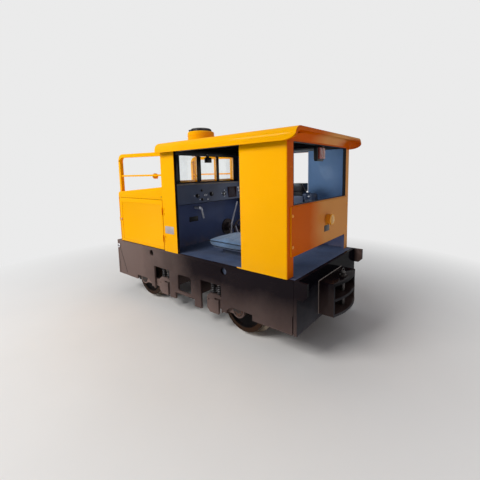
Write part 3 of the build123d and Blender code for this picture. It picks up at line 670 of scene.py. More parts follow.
def add_tube(bm, points, radius, segments=10, closed=False):
    # The radius is one size, or a list with one for each point.
    points = [Vector(p) for p in points]
    count = len(points)
    radii = radius if isinstance(radius, list) else [radius] * count
    rings = []
    side = None
    for index, point in enumerate(points):
        before = points[index - 1] if index or closed else point
        after = points[(index + 1) % count] if index < count - 1 or closed else point
        along = (after - before).normalized()
        if side is None:
            side = frame_of(along)[0]
        side = (side - along * side.dot(along)).normalized()
        rings.append(circle(point, side, along.cross(side), radii[index], segments))
    add_rings(bm, rings, closed)


def add_hex_bolt(bm, centre, direction, across, turn=0.0):
    side, other, along = frame_of(direction)
    size = across / math.cos(math.pi / 6) / 2 * 1.12
    profile = ((size, 0.0), (size, across * 0.5), (size * 0.86, across * 0.62))
    add_rings(bm, [circle(centre + along * reach, side, other, radius, 6, turn) for radius, reach in profile])


def scaled(profile, radius, length):
    return [(radius * wide, length * far) for wide, far in profile]


def add_round_head(bm, centre, direction, radius, height):
    profile = scaled([(1, 0), (1, 0.25), (0.86, 0.62), (0.5, 0.92), (0, 1)], radius, height)
    add_lathe(bm, profile, centre, direction, 16)


def add_weld(bm, start, end, radius, rng, ripple=9):
    start, end = Vector(start), Vector(end)
    count = max(3, int((end - start).length / ripple))
    side, other, _ = frame_of(end - start)
    points, radii = [], []
    for index in range(count * 2 + 1):
        shake = (side * rng.uniform(-1, 1) + other * rng.uniform(-1, 1)) * radius * 0.16
        points.append(start.lerp(end, index / (count * 2)) + shake)
        radii.append(radius * (1.05 if index % 2 else 0.78) * rng.uniform(0.88, 1.12))
    add_tube(bm, points, radii, 8)


def split_places(mesh):
    # The corners of each separate solid in a node's mesh.
    bm = bmesh.new()
    bm.from_mesh(mesh)
    bmesh.ops.remove_doubles(bm, verts=bm.verts, dist=0.02 * mm)
    left = set(bm.verts)
    places = []
    while left:
        seen = {left.pop()}
        edge = list(seen)
        while edge:
            vert = edge.pop()
            found = {link.other_vert(vert) for link in vert.link_edges} - seen
            seen |= found
            edge += found
        left -= seen
        corners = list(zip(*(v.co / mm for v in seen)))
        places.append((Vector(map(min, corners)), Vector(map(max, corners))))
    bm.free()
    places.sort(key=lambda pair: tuple(round(v, 1) for v in pair[0]))
    return places


# Coil springs: wound rounds of wire with flat ends, one for each CAD spring.
def coil_springs():
    wire = 5.5
    turns, steps_a_turn = 5.4, 26
    steps = steps_a_turn * turns
    bm = bmesh.new()
    for lower, upper in split_places(nodes["coil_springs"].data):
        middle = (lower + upper) / 2
        radius = (upper.x - lower.x) / 2 - wire
        rise = upper.z - lower.z - 2 * wire
        points = []
        for index in range(int(steps) + 1):
            share = index / steps
            turn = 2 * math.pi * turns * share
            height = lower.z + wire + rise * min(max((share - 0.08) / 0.84, 0.0), 1.0)
            points.append((middle.x + radius * math.cos(turn), middle.y + radius * math.sin(turn), height))
        add_tube(bm, points, wire, 8)
        foot = (middle.x, middle.y, lower.z + 1)
        add_lathe(bm, [(radius - wire, 0), (radius - wire * 1.5, rise * 0.94)], foot, UP, 14)
    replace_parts(add_piece("wound_springs", bm, spring_steel), "coil_springs")


# Journal covers on the spring arms, with a bright grease nipple and four bolts.
def journal_covers():
    covers, bolts, nipples = bmesh.new(), bmesh.new(), bmesh.new()
    arm_face = wall_outer - 23
    cover_radius, bolt_circle = 46, 40
    for x in axle_x.values():
        for side in (-1, 1):
            out = ACROSS * side
            face = Vector((x, side * arm_face, axle_height))
            profile = [(cover_radius, 0), (cover_radius, 3), (34, 4), (32, 2), (0, 2)]
            add_lathe(covers, profile, face, out)
            for spot in circle(face + out * 3, ALONG, UP, bolt_circle, 4, math.pi / 4):
                add_hex_bolt(bolts, spot, out, 7)
            add_lathe(nipples, [(4, 0), (4, 2), (2.5, 3), (3.2, 5), (0, 7)], face + UP * 22, out, 12)
    add_piece("journal_covers", covers, cast_iron)
    add_piece("journal_cover_bolts", bolts, dark_steel)
    add_piece("grease_nipples", nipples, bright_steel)


# Bolted panel at the cab end: round heads near its four corners.
def end_panel_bolts():
    bm = bmesh.new()
    for side in (-1, 1):
        for z in (low["end_panel"].z + 64, high["end_panel"].z - 60):
            spot = Vector((panel_face, side * (high["end_panel"].y - 18), z))
            washer = 1.4
            add_lathe(bm, [(11, 0), (11, washer), (6, 1.6)], spot, ALONG, 20)
            add_round_head(bm, spot + ALONG * washer, ALONG, 8, 5)
    add_piece("end_panel_bolts", bm, bolt_paint)


# Blank plates: silver on the front column, black under the rear lamp and on the front wall.
def blank_plates():
    inset = 6
    wall = front_wall_in
    for name, lower, upper, out, finish in (
        ("column_plate", (-230, -wall_outer - 1.6, 743), (-107, -wall_outer, 810), -ACROSS, plate_silver),
        ("lamp_plate", (panel_face, 6, 804), (panel_face + 2, 100, 852), ALONG, black_plastic),
        ("front_wall_plate", (wall, -248, 804), (wall + 4, -135, 853), ALONG, black_plastic),
    ):
        bm = bmesh.new()
        add_block(bm, lower, upper, 0.8)
        flat = 1 if out == ALONG else 0
        for across in (lower[flat] + inset, upper[flat] - inset):
            for height in (lower[2] + inset, upper[2] - inset):
                spot = Vector(upper if out == ALONG else lower)
                spot[flat] = across
                spot.z = height
                add_round_head(bm, spot, out, 2.6, 1.6)
        add_piece(name, bm, finish)


# Lamps: a bell with cooling fins, a rim and a ribbed lens.
def dress_lamp(node, out, lens_finish):
    lower, upper = low[node], high[node]
    radius = (upper.z - lower.z) / 2
    length = upper.x - lower.x
    foot = (lower + upper) / 2 - out * length / 2
    bell = bmesh.new()
    profile = [(0.62, 0), (0.66, 0.06)]
    for fin in range(4):
        start, size = 0.1 + 0.14 * fin, 0.9 + 0.03 * fin
        profile += [(0.56, start), (size, start + 0.02), (size, start + 0.07), (0.56, start + 0.09)]
    profile += [(0.9, 0.68), (1, 0.74), (1, 0.88), (0.93, 0.93), (0.84, 0.9), (0, 0.84)]
    add_lathe(bell, scaled(profile, radius, length), foot, out, 40)
    bracket_low = foot + Vector((-3, -radius * 0.3, -radius))
    add_block(bell, bracket_low, foot + Vector((length * 0.2, radius * 0.3, -radius * 0.55)), 1.5)
    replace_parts(add_piece(f"{node}_bell", bell, fitting_enamel), node)
    lens = bmesh.new()
    dome = [(0.85, 0.86), (0.84, 0.9), (0.62, 0.96), (0.3, 0.99), (0, 1)]
    add_lathe(lens, scaled(dome, radius, length), foot, out, 40)
    add_piece(f"{node}_bell_lens", lens, lens_finish)


def add_rounded_stack(bm, rows, centre):
    # Along X. Each row is half width, half height, corner radius and distance from the centre.
    steps = 6
    rings = []
    for half_width, half_height, radius, reach in rows:
        ring = []
        for corner, (sx, sy) in enumerate(((1, 1), (-1, 1), (-1, -1), (1, -1))):
            for step in range(steps + 1):
                angle = math.pi / 2 * (corner + step / steps)
                across = sx * (half_width - radius) + radius * math.cos(angle)
                height = sy * (half_height - radius) + radius * math.sin(angle)
                ring.append(centre + Vector((reach, across, height)))
        rings.append(ring)
    add_rings(bm, rings)


# Tail lamp: a moulded black shell with two ribbed lenses, hung from its strap.
def tail_lamp():
    lower, upper = low["tail_lamp"], high["tail_lamp"]
    half_y = (upper.y - lower.y) / 2
    half_z = (upper.z - lower.z) / 2
    depth = upper.x - lower.x
    shell = bmesh.new()
    add_rounded_stack(shell, [
        (half_y - 8, half_z - 8, 10, 0), (half_y - 1, half_z - 1, 16, 6), (half_y, half_z, 16, depth * 0.5),
        (half_y, half_z, 16, depth * 0.64), (half_y - 5, half_z - 5, 12, depth * 0.7),
    ], Vector((lower.x, (lower.y + upper.y) / 2, (lower.z + upper.z) / 2)))
    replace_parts(add_piece("tail_lamp_shell", shell, black_plastic), "tail_lamp")
    # The lenses are side by side, with the black shell wider on the near side and below. The far lens is pale
    # pink as a painted highlight.
    gap = 6
    lens_low, lens_high = lower.y + 14, upper.y - 4
    lens_middle = (lens_low + lens_high) / 2 + 6
    bottom, top = lower.z + 17, upper.z - 8
    for name, y0, y1, finish in (
        ("red", lens_low, lens_middle - gap / 2, red_lens),
        ("pink", lens_middle + gap / 2, lens_high, painted_highlight_lens),
    ):
        lens = bmesh.new()
        half_width, half_height = (y1 - y0) / 2, (top - bottom) / 2
        add_rounded_stack(lens, [
            (half_width, half_height, 8, depth * 0.66), (half_width, half_height, 8, depth * 0.9),
            (half_width - 3, half_height - 3, 6, depth * 0.97), (half_width - 8, half_height - 8, 3, depth),
        ], Vector((lower.x, (y0 + y1) / 2, (bottom + top) / 2)))
        add_piece(f"tail_lamp_lens_{name}", lens, finish)
    strap_low, strap_high = low["tail_lamp_strap"], high["tail_lamp_strap"]
    face = strap_high.x - 1
    hanger = bmesh.new()
    hanger_low = (strap_low.x, strap_low.y + 2, upper.z - 6)
    add_block(hanger, hanger_low, (face, strap_high.y - 2, strap_high.z), 1.2)
    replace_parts(add_piece("tail_lamp_hanger", hanger, black_plastic), "tail_lamp_strap")
    screws = bmesh.new()
    for y in (strap_low.y + 9, strap_high.y - 9):
        add_round_head(screws, (face, y, upper.z + 10), ALONG, 5.5, 3)
    add_piece("tail_lamp_screws", screws, chrome_cap)


def add_edging(bm, x, lower, upper, half_width, radius):
    # A flat strip round the inner faces of an opening in an X plane. Its corners are across and height.
    (y0, z0), (y1, z1) = lower, upper
    corners = [Vector((x, y, z)) for y, z in ((y0, z0), (y1, z0), (y1, z1), (y0, z1))]
    centre = sum(corners, Vector()) / 4
    path = []
    for before, corner, after in zip(corners[-1:] + corners, corners, corners[1:] + corners[:1]):
        back = (before - corner).normalized() * radius
        ahead = (after - corner).normalized() * radius
        path += curve(corner + back, corner, corner + ahead, 4)
    rings = []
    for before, point, after in zip(path[-1:] + path, path, path[1:] + path[:1]):
        inward = (after - before).normalized().cross(ALONG)
        inner = point + inward * math.copysign(3, inward.dot(centre - point))
        edge = ALONG * half_width
        rings.append([point - edge, inner - edge, inner + edge, point + edge])
    add_rings(bm, rings, closed=True)


# Rubber edging round the end window.
def window_trim():
    bm = bmesh.new()
    half_width = (cab_face - end_wall_in) / 2 + 1
    middle = (end_wall_in + cab_face) / 2
    add_edging(bm, middle, (-window_half, window_low), (window_half, window_top), half_width, 10)
    add_piece("end_window_edging", bm, rubber)


# Inside the front wall: a black lining with holes for the three windows, and seals round them.
# Outside the glass a yellow rim stands forward, with a deeper sill along the bottom.
def front_lining():
    panes = split_places(nodes["front_glass"].data)
    rim_reach = (8, 12, 26)
    x0, x1 = front_wall_in, front_wall_in + 3
    bottom, top = panes[0][0].z, panes[0][1].z
    edges = [-wall_inner + 1, *(place.y for pane in panes for place in pane), wall_inner - 1]
    lining = bmesh.new()
    add_block(lining, (x0, edges[0], high["console"].z + 8), (x1, edges[-1], bottom), 0.5)
    add_block(lining, (x0, edges[0], top), (x1, edges[-1], 1500), 0.5)
    for start, end in zip(edges[0::2], edges[1::2]):
        add_block(lining, (x0, start, bottom - 1), (x1, end, top + 1), 0.5)
    add_piece("front_wall_lining", lining, header_black)
    for index, (reach, start, end) in enumerate(zip(rim_reach, edges[1::2], edges[2::2])):
        seal = bmesh.new()
        add_edging(seal, x1 + 2, (start, bottom), (end, top), 3, 18)
        add_piece(f"front_window_seal_{index}", seal, rubber)
        rim = bmesh.new()
        x_out, x_in = front_wall_out - reach, front_wall_out + 2
        add_block(rim, (x_out, start, bottom), (x_in, end, bottom + 22), 2)
        for y0, y1 in ((start, start + 5), (end - 5, end)):
            add_block(rim, (x_out, y0, bottom), (x_in, y1, top - 14), 1.5)
        corner = [(x_out, end - 3, top - 16), (x_out, end - 14, top - 4), (x_out, end - 34, top - 2)]
        add_tube(rim, corner, 2.5, 8)
        add_piece(f"front_window_rim_{index}", rim, fitting_enamel)


def console_spot(across, height):
    # A place on the console's raked face.
    foot_x = high["console"].x
    rise = (height - console_rake_foot) / (high["console"].z - console_rake_foot)
    return Vector((foot_x + (console_edge - foot_x) * rise, across, height))


# Console: trim strip, gauge, switches, knobs and a louvred vent.
def console_fittings():
    console_low, console_high = low["console"], high["console"]
    top = console_high.z
    trim = bmesh.new()
    trim_high = (console_edge + 3, console_high.y - 2, top + 8)
    add_block(trim, (front_wall_in, console_low.y + 2, top - 4), trim_high, 1.2)
    add_piece("console_trim", trim, dull_alloy)
    bezels, caps, bright, glazing = (bmesh.new() for _ in range(4))
    normal = ACROSS.cross(console_spot(0, top) - console_spot(0, console_rake_foot)).normalized()
    # Each control is its place across, its height and its radius.
    knobs = ((-214, 1062, 17), (-152, 1111, 10), (-24, 1069, 20), (-158, 1024, 12))
    for across, height, size in knobs:
        spot = console_spot(across, height)
        add_lathe(bezels, [(size * 1.2, 0), (size * 1.2, 2), (0, 2.4)], spot, normal, 24)
        add_lathe(caps, [(size, 2), (size * 0.9, 15), (size * 0.8, 17), (0, 17.5)], spot, normal, 24)
        mark = spot + normal * 17.4
        add_tube(bright, [mark, mark + UP * size * 0.7], 1.2, 6)
    switches = ((-118, 1066, 8), (-96, 1064, 9), (-82, 1023, 9), (404, 1112, 13))
    for across, height, size in switches:
        spot = console_spot(across, height)
        add_lathe(bright, [(size, 0), (size, 3), (size * 0.5, 5), (0, 5)], spot, normal, 18)
        add_tube(bright, [spot + normal * 3, spot + normal * 16 + UP * 8], [2.4, 3.8], 8)
    screws = (
        (-252, 1066, 7), (-186, 1027, 7), (174, 1095, 7), (128, 1067, 7), (166, 1034, 7), (193, 1075, 6),
        (404, 1082, 12), (418, 1046, 7),
    )
    for across, height, size in screws:
        add_round_head(bright, console_spot(across, height), normal, size, size * 0.7)
    spot, size = console_spot(159, 1061), 21
    ring = [(size, 0), (size * 1.04, 6), (size * 0.92, 8), (size * 0.84, 6), (size * 0.82, 3), (0, 3)]
    add_lathe(bezels, ring, spot, normal, 28)
    needle = spot + normal * 3.6
    add_tube(bright, [needle - UP * size * 0.3, needle + (UP + ACROSS * 0.6) * size * 0.55], 1.1, 6)
    pane = [(size * 0.82, 0), (size * 0.7, 1.4), (0, 1.8)]
    add_lathe(glazing, pane, spot + normal * 4.4, normal, 28)
    add_piece("console_bezels", bezels, dark_steel)
    add_piece("console_knobs", caps, black_plastic)
    add_piece("console_bright_parts", bright, chrome_cap)
    add_piece("console_gauge_glass", glazing, glass)
    console_vent()


def console_vent():
    vent = bmesh.new()
    y0, y1, z0, z1 = 228, 357, 1016, 1129
    border, slats = 8, 8
    lean = console_spot(0, z0).x - console_spot(0, z1).x
    for lower, upper in (
        ((y0, z0), (y1, z0 + border)), ((y0, z1 - border), (y1, z1)),
        ((y0, z0), (y0 + border, z1)), ((y1 - border, z0), (y1, z1)),
    ):
        x = console_spot(0, (lower[1] + upper[1]) / 2).x
        reach = abs(lean) / 2 * (upper[1] - lower[1]) / (z1 - z0)
        add_block(vent, (x - 3 - reach, *lower), (x + 5 + reach, *upper), 1)
    pitch = (z1 - z0 - 2 * border) / slats
    for index in range(slats):
        z = z0 + border + pitch * (index + 0.13)
        x = console_spot(0, z).x
        add_block(vent, (x - 2, y0 + border - 1, z), (x + 4, y1 - border + 1, z + pitch * 0.74), 1)
    add_piece("console_vent", vent, vent_brown)


# A small black box on a stalk under the roof, beside the middle window.
def hanging_box():
    bm = bmesh.new()
    x = front_wall_in + 3
    add_block(bm, (x, -21, 1383), (x + 36, 50, 1436), 4)
    add_block(bm, (x, 0, 1430), (x + 5, 30, 1478), 1.5)
    add_lathe(bm, [(13, 0), (13, 12), (9, 15)], (x + 18, 15, 1434), UP, 20)
    add_piece("warning_buzzer", bm, black_plastic)
    screws = bmesh.new()
    for y in (8, 22):
        add_round_head(screws, (x + 5, y, 1466), ALONG, 4, 2.4)
    add_piece("buzzer_screws", screws, bright_steel)


# The seat: a padded cushion with piping on the plain CAD pad's place.
def seat_cushion():
    lower, upper = low["seat_pad"], high["seat_pad"]
    middle = (lower + upper) / 2
    half = (upper - lower) / 2
    count = 28
    crown, lowered, fold_depth = 18, 22, 6
    rng = random.Random(3)
    folds = [(rng.uniform(-1, 1), rng.uniform(-1, 1), rng.uniform(0, math.pi)) for _ in range(9)]

    def height(u, v):
        edge = (1 - u ** 4) * (1 - v ** 4)
        channel = 1 - 0.34 * math.exp(-((abs(u) - 0.34) / 0.035) ** 2) * (1 - abs(v) ** 6)
        tall = (half.z - crown - lowered) * edge ** 0.18 + crown * edge * channel
        for u0, v0, turn in folds:
            a = (u - u0) * math.cos(turn) + (v - v0) * math.sin(turn)
            b = (v - v0) * math.cos(turn) - (u - u0) * math.sin(turn)
            tall -= fold_depth * edge * math.exp(-(a / 0.05) ** 2 - (b / 0.4) ** 2)
        return -half.z * edge ** 0.14, tall

    # The sides pull in between the corners. The bottom and the top share the points of the rim.
    bm = bmesh.new()
    rows = range(count + 1)
    made = {}
    for i in rows:
        for j in rows:
            u, v = i / count * 2 - 1, j / count * 2 - 1
            pull = 0.985 * (1 - 0.035 * (1 - max(abs(u), abs(v)) ** 0.01))
            bow_x = 1 - 0.03 * (1 - v * v) * (abs(u) == 1)
            bow_y = 1 - 0.03 * (1 - u * u) * (abs(v) == 1)
            x, y = middle.x + u * half.x * pull * bow_x, middle.y + v * half.y * pull * bow_y
            bottom, top = height(u, v)
            made[0, i, j] = bm.verts.new((x, y, middle.z + bottom))
            rim = i in (0, count) or j in (0, count)
            made[1, i, j] = made[0, i, j] if rim else bm.verts.new((x, y, middle.z + top))
    for face in (0, 1):
        for i in rows[:-1]:
            for j in rows[:-1]:
                corners = [made[face, a, b] for a, b in ((i, j), (i + 1, j), (i + 1, j + 1), (i, j + 1))]
                bm.faces.new(corners if face else corners[::-1])
    order = [(i, 0) for i in rows[:-1]] + [(count, j) for j in rows[:-1]]
    order += [(i, count) for i in rows[:0:-1]] + [(0, j) for j in rows[:0:-1]]
    ring = [made[1, i, j].co.copy() for i, j in order]
    pad = add_piece("seat_cushion", bm, seat_weave)
    smoother = pad.modifiers.new("soften", "SUBSURF")
    smoother.levels = 1
    smoother.render_levels = 1
    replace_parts(pad, "seat_pad")
    piping = bmesh.new()
    add_tube(piping, ring, 3.2, 8, closed=True)
    add_piece("seat_piping", piping, rubber)


# Hood doors: a lock face with a raised slot on each door.
def door_fittings():
    for side, body in ((-1, "door_near"), (1, "door_far")):
        out = ACROSS * side
        spot = Vector((low["hood_" + body].x + 32, (wall_outer + 8) * side, 818))
        bm = bmesh.new()
        add_lathe(bm, [(9, 0), (9, 1.5), (7, 2.5), (0, 2.5)], spot, out, 20)
        slot_half = Vector((1.4, 0, 5))
        add_block(bm, spot - slot_half + out * 2, spot + slot_half + out * 4)
        add_piece(f"{body}_lock_face", bm, bright_steel, body=body)


# Weld beads round the couplers' roots and along the corners of the frame.
def weld_beads():
    rng = random.Random(7)
    beads, seams = bmesh.new(), bmesh.new()
    for root, node in ((low["coupler_rear"].x, "coupler_rear"), (high["coupler_front"].x, "coupler_front")):
        bottom, top, half = low[node].z, high[node].z, high[node].y
        for y in (-half, half):
            add_weld(beads, (root, y, bottom), (root, y, top), 4.5, rng)
        for z in (top, bottom):
            add_weld(beads, (root, -half, z), (root, half, z), 4.5, rng)
    add_piece("coupler_welds", beads, weld_steel)
    for y in (-wall_outer, wall_outer):
        for x in (-high["side_plate_near"].x, high["side_plate_near"].x):
            add_weld(seams, (x, y, 336), (x, y, deck_top - 2), 2.2, rng, 7)
    add_piece("corner_welds", seams, brown)


# Drum on the roof: a flange and a band, bolts round its foot, a ribbed cap and a knob beside it.
def drum_fittings():
    lower, upper = low["roof_drum"], high["roof_drum"]
    radius = (upper.x - lower.x) / 2
    foot = Vector(((lower.x + upper.x) / 2, (lower.y + upper.y) / 2, lower.z))
    flange = bmesh.new()
    add_lathe(flange, [(radius, 0), (radius + 10, 0), (radius + 10, 5), (radius, 6)], foot, UP, 56)
    band = [(radius - 1, 0), (radius + 2.2, 1), (radius + 2.2, 5), (radius - 1, 6)]
    add_lathe(flange, band, foot + UP * (upper.z - lower.z) * 0.62, UP, 56)
    add_piece("drum_flange", flange, rail_yellow)
    bolts = bmesh.new()
    for step, spot in enumerate(circle(foot + UP * 5, ALONG, ACROSS, radius + 5, 10)):
        add_hex_bolt(bolts, spot, UP, 5, 2 * math.pi * step / 10)
    add_piece("drum_bolts", bolts, rail_yellow)
    cap_low, cap_high = low["drum_cap"], high["drum_cap"]
    cap_radius = (cap_high.x - cap_low.x) / 2
    base = Vector((foot.x, foot.y, cap_low.z))
    points = 36 * 4
    rings = []
    # Each row is the height's share, the radius's share and the depth of the 36 ribs.
    for height, size, ribs in (
        (0, 1, 0), (0.06, 1, 0.05), (0.55, 0.98, 0.05), (0.75, 0.94, 0.03), (0.92, 0.84, 0), (1, 0.72, 0),
    ):
        centre = base + UP * (cap_high.z - cap_low.z) * height
        outer = circle(centre, ALONG, ACROSS, cap_radius * size, points)
        dipped = circle(centre, ALONG, ACROSS, cap_radius * (size - ribs), points)
        rings.append([dipped[step] if step % 4 in (0, 1) else outer[step] for step in range(points)])
    cap = bmesh.new()
    add_rings(cap, rings)
    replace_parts(add_piece("drum_cap_ribbed", cap, black_plastic), "drum_cap")
    knob = bmesh.new()
    spot = (foot.x - radius * 0.78, foot.y - radius * 0.42, upper.z - 6)
    add_lathe(knob, [(5, 0), (5, 16), (11, 18), (11, 28), (7, 31), (0, 32)], spot, UP, 20)
    add_piece("drum_drain_knob", knob, dark_steel)


# A short yellow lip on the sill at the doorway's cab-end corner.
def sill_lip():
    bm = bmesh.new()
    jamb = low["rear_panel_near"].x
    add_block(bm, (jamb - 46, -wall_outer + 1, deck_top), (jamb + 2, -wall_outer + 26, deck_top + 7), 1)
    add_piece("sill_lip", bm, yellow)


# Coupler pins: a pull ring through each knob.
def pin_rings():
    front_pin, rear_pin = split_places(nodes["coupler_pins"].data)
    for end, (lower, upper) in (("rear", rear_pin), ("front", front_pin)):
        bm = bmesh.new()
        centre = Vector(((lower.x + upper.x) / 2, (lower.y + upper.y) / 2, upper.z - 8))
        add_tube(bm, circle(centre, ACROSS, UP, 22, 28), 3.2, 8, closed=True)
        add_piece(f"pin_ring_{end}", bm, dark_steel)


# The peak's curved cheeks, which close its two ends between the end wall and the rolled sides.
def visor_cheeks():
    lip_depth = 25.5
    inner_half = high["roof"].y - lip_depth
    inner_top = high["roof"].z - lip_depth
    roll = 36.5
    tip_x = high["roof"].x - 8.5
    wall_x = cab_face + 0.5
    flat = 290
    eave = low["roof"].z
    # The lower edge of the rolled side rises along a quarter ellipse towards the tip.
    edge_run, edge_rise = 100, 45
    edge_x = high["roof"].x - edge_run
    flat_steps, steps = 5, 8
    run = (inner_half - roll - flat) / flat_steps
    lip = [Vector((tip_x, flat + run * step, inner_top)) for step in range(flat_steps)]
    for step in range(steps + 1):
        turn = math.pi / 2 * (1 - step / steps * 0.93)
        across = inner_half - roll + roll * math.cos(turn)
        lip.append(Vector((tip_x, across, inner_top - roll + roll * math.sin(turn))))
    for step in range(1, steps + 1):
        turn = math.radians(24 + 58 * step / steps)
        height = eave + edge_rise * (1 - math.sin(turn)) + 1.5
        lip.append(Vector((edge_x + edge_run * math.cos(turn), inner_half, height)))
    bm = bmesh.new()
    for side in (-1, 1):
        rings = []
        for index, tip in enumerate(lip):
            turn = math.pi / 2 * index / (len(lip) - 1)
            across = flat + (wall_outer - 12 - flat) * math.sin(turn)
            wall = Vector((wall_x, across, eave + 2 + (inner_top - eave - 3) * math.cos(turn)))
            corner = Vector((wall_x, tip.y, tip.z + 0.4))
            ring = [*curve(wall, corner, tip, steps), tip + UP * 0.4, corner]
            rings.append([(p.x, p.y * side, p.z) for p in ring])
        add_rings(bm, rings)
    add_piece("visor_cheeks", bm, yellow)


# A bead along the lip of the peak.
def visor_bead():
    x, z = high["roof"].x - 2, high["visor_cove"].z - 12
    reach = high["roof"].y - 70
    bm = bmesh.new()
    add_tube(bm, [(x, -reach, z), (x, reach, z)], 1.8, 8)
    add_piece("visor_bead", bm, yellow)


# Controller on the far side: a pedestal with two round covers, a ball knob and a dark box over it.
def controller():
    pedestal, box, edge, ball = (bmesh.new() for _ in range(4))
    y = 300
    add_block(pedestal, (560, 248, high["deck_plate"].z), (742, 352, 1056), 6)
    for x, radius, top in ((756, 46, 1086), (812, 40, 1084)):
        profile = [(radius, -60), (radius, -24), (radius * 0.94, -12), (radius * 0.72, -3), (0, 0)]
        add_lathe(pedestal, profile, (x, y, top), UP)
        add_block(pedestal, (x - 34, y - 34, top - 150), (x + 34, y + 34, top - 55), 5)
    add_piece("controller_pedestal", pedestal, slate)
    add_block(box, (627, 240, 1094), (734, 360, 1168), 6)
    add_block(box, (632, 262, 1050), (728, 344, 1098), 3)
    add_piece("controller_box", box, header_black)
    add_tube(edge, [(735, 244, 1162), (739, y, 1098)], 4, 8)
    add_piece("controller_edge", edge, dull_alloy)
    rows = [(11 * math.sin(math.pi * step / 8), -11 * math.cos(math.pi * step / 8)) for step in range(9)]
    add_lathe(ball, rows, (792, 262, 1052), UP, 20)
    add_tube(ball, [(792, 262, 1050), (806, 284, 1040)], 3.5, 8)
    add_piece("controller_ball", ball, chrome_cap)


# A bent rod beside the brake lever, and the collar at its foot.
def bent_rod():
    y, bend_radius = 150, 20
    top, knee, foot = Vector((28, y, 732)), Vector((74, y, 622)), Vector((38, y, 577))
    back, ahead = (top - knee).normalized(), (foot - knee).normalized()
    run = bend_radius / math.tan(back.angle(ahead) / 2)
    bm = bmesh.new()
    add_tube(bm, [top, *curve(knee + back * run, knee, knee + ahead * run, 6), foot], 5)
    add_lathe(bm, [(11, 0), (11, 4), (6, 6)], (foot.x, y, high["deck_plate"].z), UP, 18)
    add_piece("bent_rod", bm, lever_steel)


# Small things on the frame's near side: eye ring, corner seam and the disc behind the lifting hole.
def frame_side_fittings():
    ring, seam, disc = (bmesh.new() for _ in range(3))
    add_tube(ring, circle(Vector((-1079, near_face - 6, 512)), ALONG, UP, 18, 24), 5.5, closed=True)
    add_piece("corner_eye_ring", ring, chrome_cap)
    start, end = Vector((-1058, near_face - 0.3, 485)), Vector((-945, near_face - 0.3, 229))
    add_tube(seam, [start, start.lerp(end, 0.35) + ALONG * 4, start.lerp(end, 0.7) + ALONG * 3, end], 2, 6)
    add_piece("side_seam", seam, rubber)
    add_lathe(disc, [(34, 0), (34, 4), (24, 6), (0, 6)], (476, near_face + 22, 520), ACROSS)
    add_piece("lift_hole_disc", disc, slate)


# Small fittings on the hood: a hasp at its front corner and bolts at the ends of the cover's seam.
def hood_fittings():
    hasp, bolts = bmesh.new(), bmesh.new()
    x = low["hood_front"].x
    add_block(hasp, (x - 9, near_face + 4, 792), (x + 1, near_face + 20, 832), 2)
    add_tube(hasp, [(x - 12, near_face + 12, 800), (x - 12, near_face + 12, 824)], 4)
    add_piece("hood_hasp", hasp, yellow)
    for side in (-1, 1):
        add_round_head(bolts, (-267, side * wall_outer, low["hood_cover"].z + 25), ACROSS * side, 5, 3)
    add_piece("cover_seam_bolts", bolts, dark_steel)


coil_springs()
journal_covers()
end_panel_bolts()
blank_plates()
dress_lamp("rear_lamp", ALONG, amber_lens)
dress_lamp("guard_lamp", -ALONG, clear_lens)
tail_lamp()
window_trim()
front_lining()
console_fittings()
hanging_box()
seat_cushion()
door_fittings()
weld_beads()
drum_fittings()
sill_lip()
pin_rings()
visor_cheeks()
visor_bead()
controller()
bent_rod()
frame_side_fittings()
hood_fittings()

# Floor, lights and camera. The background is one tone, seen by the camera, in gloss and through glass.
background = (0.83, 0.83, 0.83, 1)


def seen_by_eye(graph):
    rays = graph.node("LightPath").socket.node.outputs
    kinds = ("Camera", "Transmission", "Glossy")
    camera, through, gloss = (Value(graph, rays[f"Is {kind} Ray"]) for kind in kinds)
    return camera | through | gloss


# A pale floor that turns into the background far off.
def pale_floor():
    mesh = bpy.data.meshes.new("floor")
    half = 60.0
    corners = [(x, y, 0) for x, y in ((-half, -half), (half, -half), (half, half), (-half, half))]
    mesh.from_pydata(corners, [], [(0, 1, 2, 3)])
    floor = bpy.data.objects.new("floor", mesh)
    bpy.context.scene.collection.objects.link(floor)
    ground = Finish("pale floor", specular=0.2, roughness=0.85)
    tone = ground.noise(1.2, 5.0).ramp(0.3, 0.7)
    ground.dress(colour=ground.mix(tone, (0.79, 0.785, 0.78, 1), (0.82, 0.815, 0.81, 1)))
    far = ground.vector("LENGTH", ground.place).ramp(1.4, 3.6)
    glow = ground.node("Emission", {"Color": background, "Strength": 1.0})
    surface = Value(ground, ground.shader.outputs[0])
    mixed = ground.node("MixShader", {0: seen_by_eye(ground) * far, 1: surface, 2: glow})
    ground.feed(ground.tree.nodes["Material Output"].inputs["Surface"], mixed)
    mesh.materials.append(ground.material)


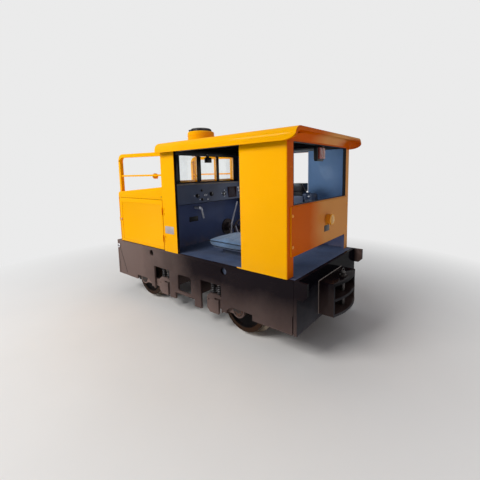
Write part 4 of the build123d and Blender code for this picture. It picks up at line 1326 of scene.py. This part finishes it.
def studio_world():
    world = bpy.data.worlds.new("studio")
    bpy.context.scene.world = world
    world.use_nodes = True
    world.node_tree.nodes.clear()
    graph = Graph(world.node_tree)
    soft = graph.node("Background", {"Color": (0.93, 0.95, 1.0, 1), "Strength": 0.26})
    pale = graph.node("Background", {"Color": background, "Strength": 1.0})
    mixed = graph.node("MixShader", {0: seen_by_eye(graph), 1: soft, 2: pale})
    graph.feed(graph.tree.nodes.new("ShaderNodeOutputWorld").inputs["Surface"], mixed)


def area_light(name, place, target, size, power, colour=(1, 1, 1)):
    data = bpy.data.lights.new(name, "AREA")
    data.shape = "RECTANGLE"
    data.size, data.size_y = size
    data.energy = power
    data.color = colour
    light = bpy.data.objects.new(name, data)
    light.location = place
    light.visible_camera = False
    light.rotation_euler = (Vector(target) - Vector(place)).to_track_quat("-Z", "Y").to_euler()
    bpy.context.scene.collection.objects.link(light)


def photo_camera():
    yaw, pitch, roll = (math.radians(a) for a in (39.67, -7.15, -1.24))
    forward = Vector((-math.sin(yaw) * math.cos(pitch), math.cos(yaw) * math.cos(pitch), math.sin(pitch)))
    right = Vector((math.cos(yaw), math.sin(yaw), 0))
    up = right.cross(forward)
    right, up = right * math.cos(roll) + up * math.sin(roll), up * math.cos(roll) - right * math.sin(roll)
    data = bpy.data.cameras.new("camera")
    data.lens = 22.45
    data.sensor_width = 36.0
    data.shift_y = -0.0604
    data.dof.use_dof = False
    data.clip_start = 0.05
    data.clip_end = 200
    camera = bpy.data.objects.new("camera", data)
    matrix = Matrix((right, up, -forward)).transposed().to_4x4()
    matrix.translation = Vector((2.009, -2.166, 1.268))
    camera.matrix_world = matrix
    bpy.context.scene.collection.objects.link(camera)
    bpy.context.scene.camera = camera


pale_floor()
studio_world()
area_light("key", (-1.6, -5.2, 4.6), (0.1, -0.4, 0.8), (3.2, 2.4), 318, (1.0, 0.98, 0.95))
area_light("top", (-0.6, 0.8, 5.2), (0, 0, 1.0), (4.0, 3.0), 30)
area_light("end fill", (4.4, -0.6, 0.9), (1.1, 0, 0.8), (2.0, 1.2), 8, (1.0, 0.6, 0.38))
area_light("cab fill", (0.35, -0.15, 1.36), (0.85, 0.5, 0.85), (0.5, 0.24), 2.2, (0.8, 0.9, 1.0))
photo_camera()
bpy.context.scene.view_settings.view_transform = "Standard"
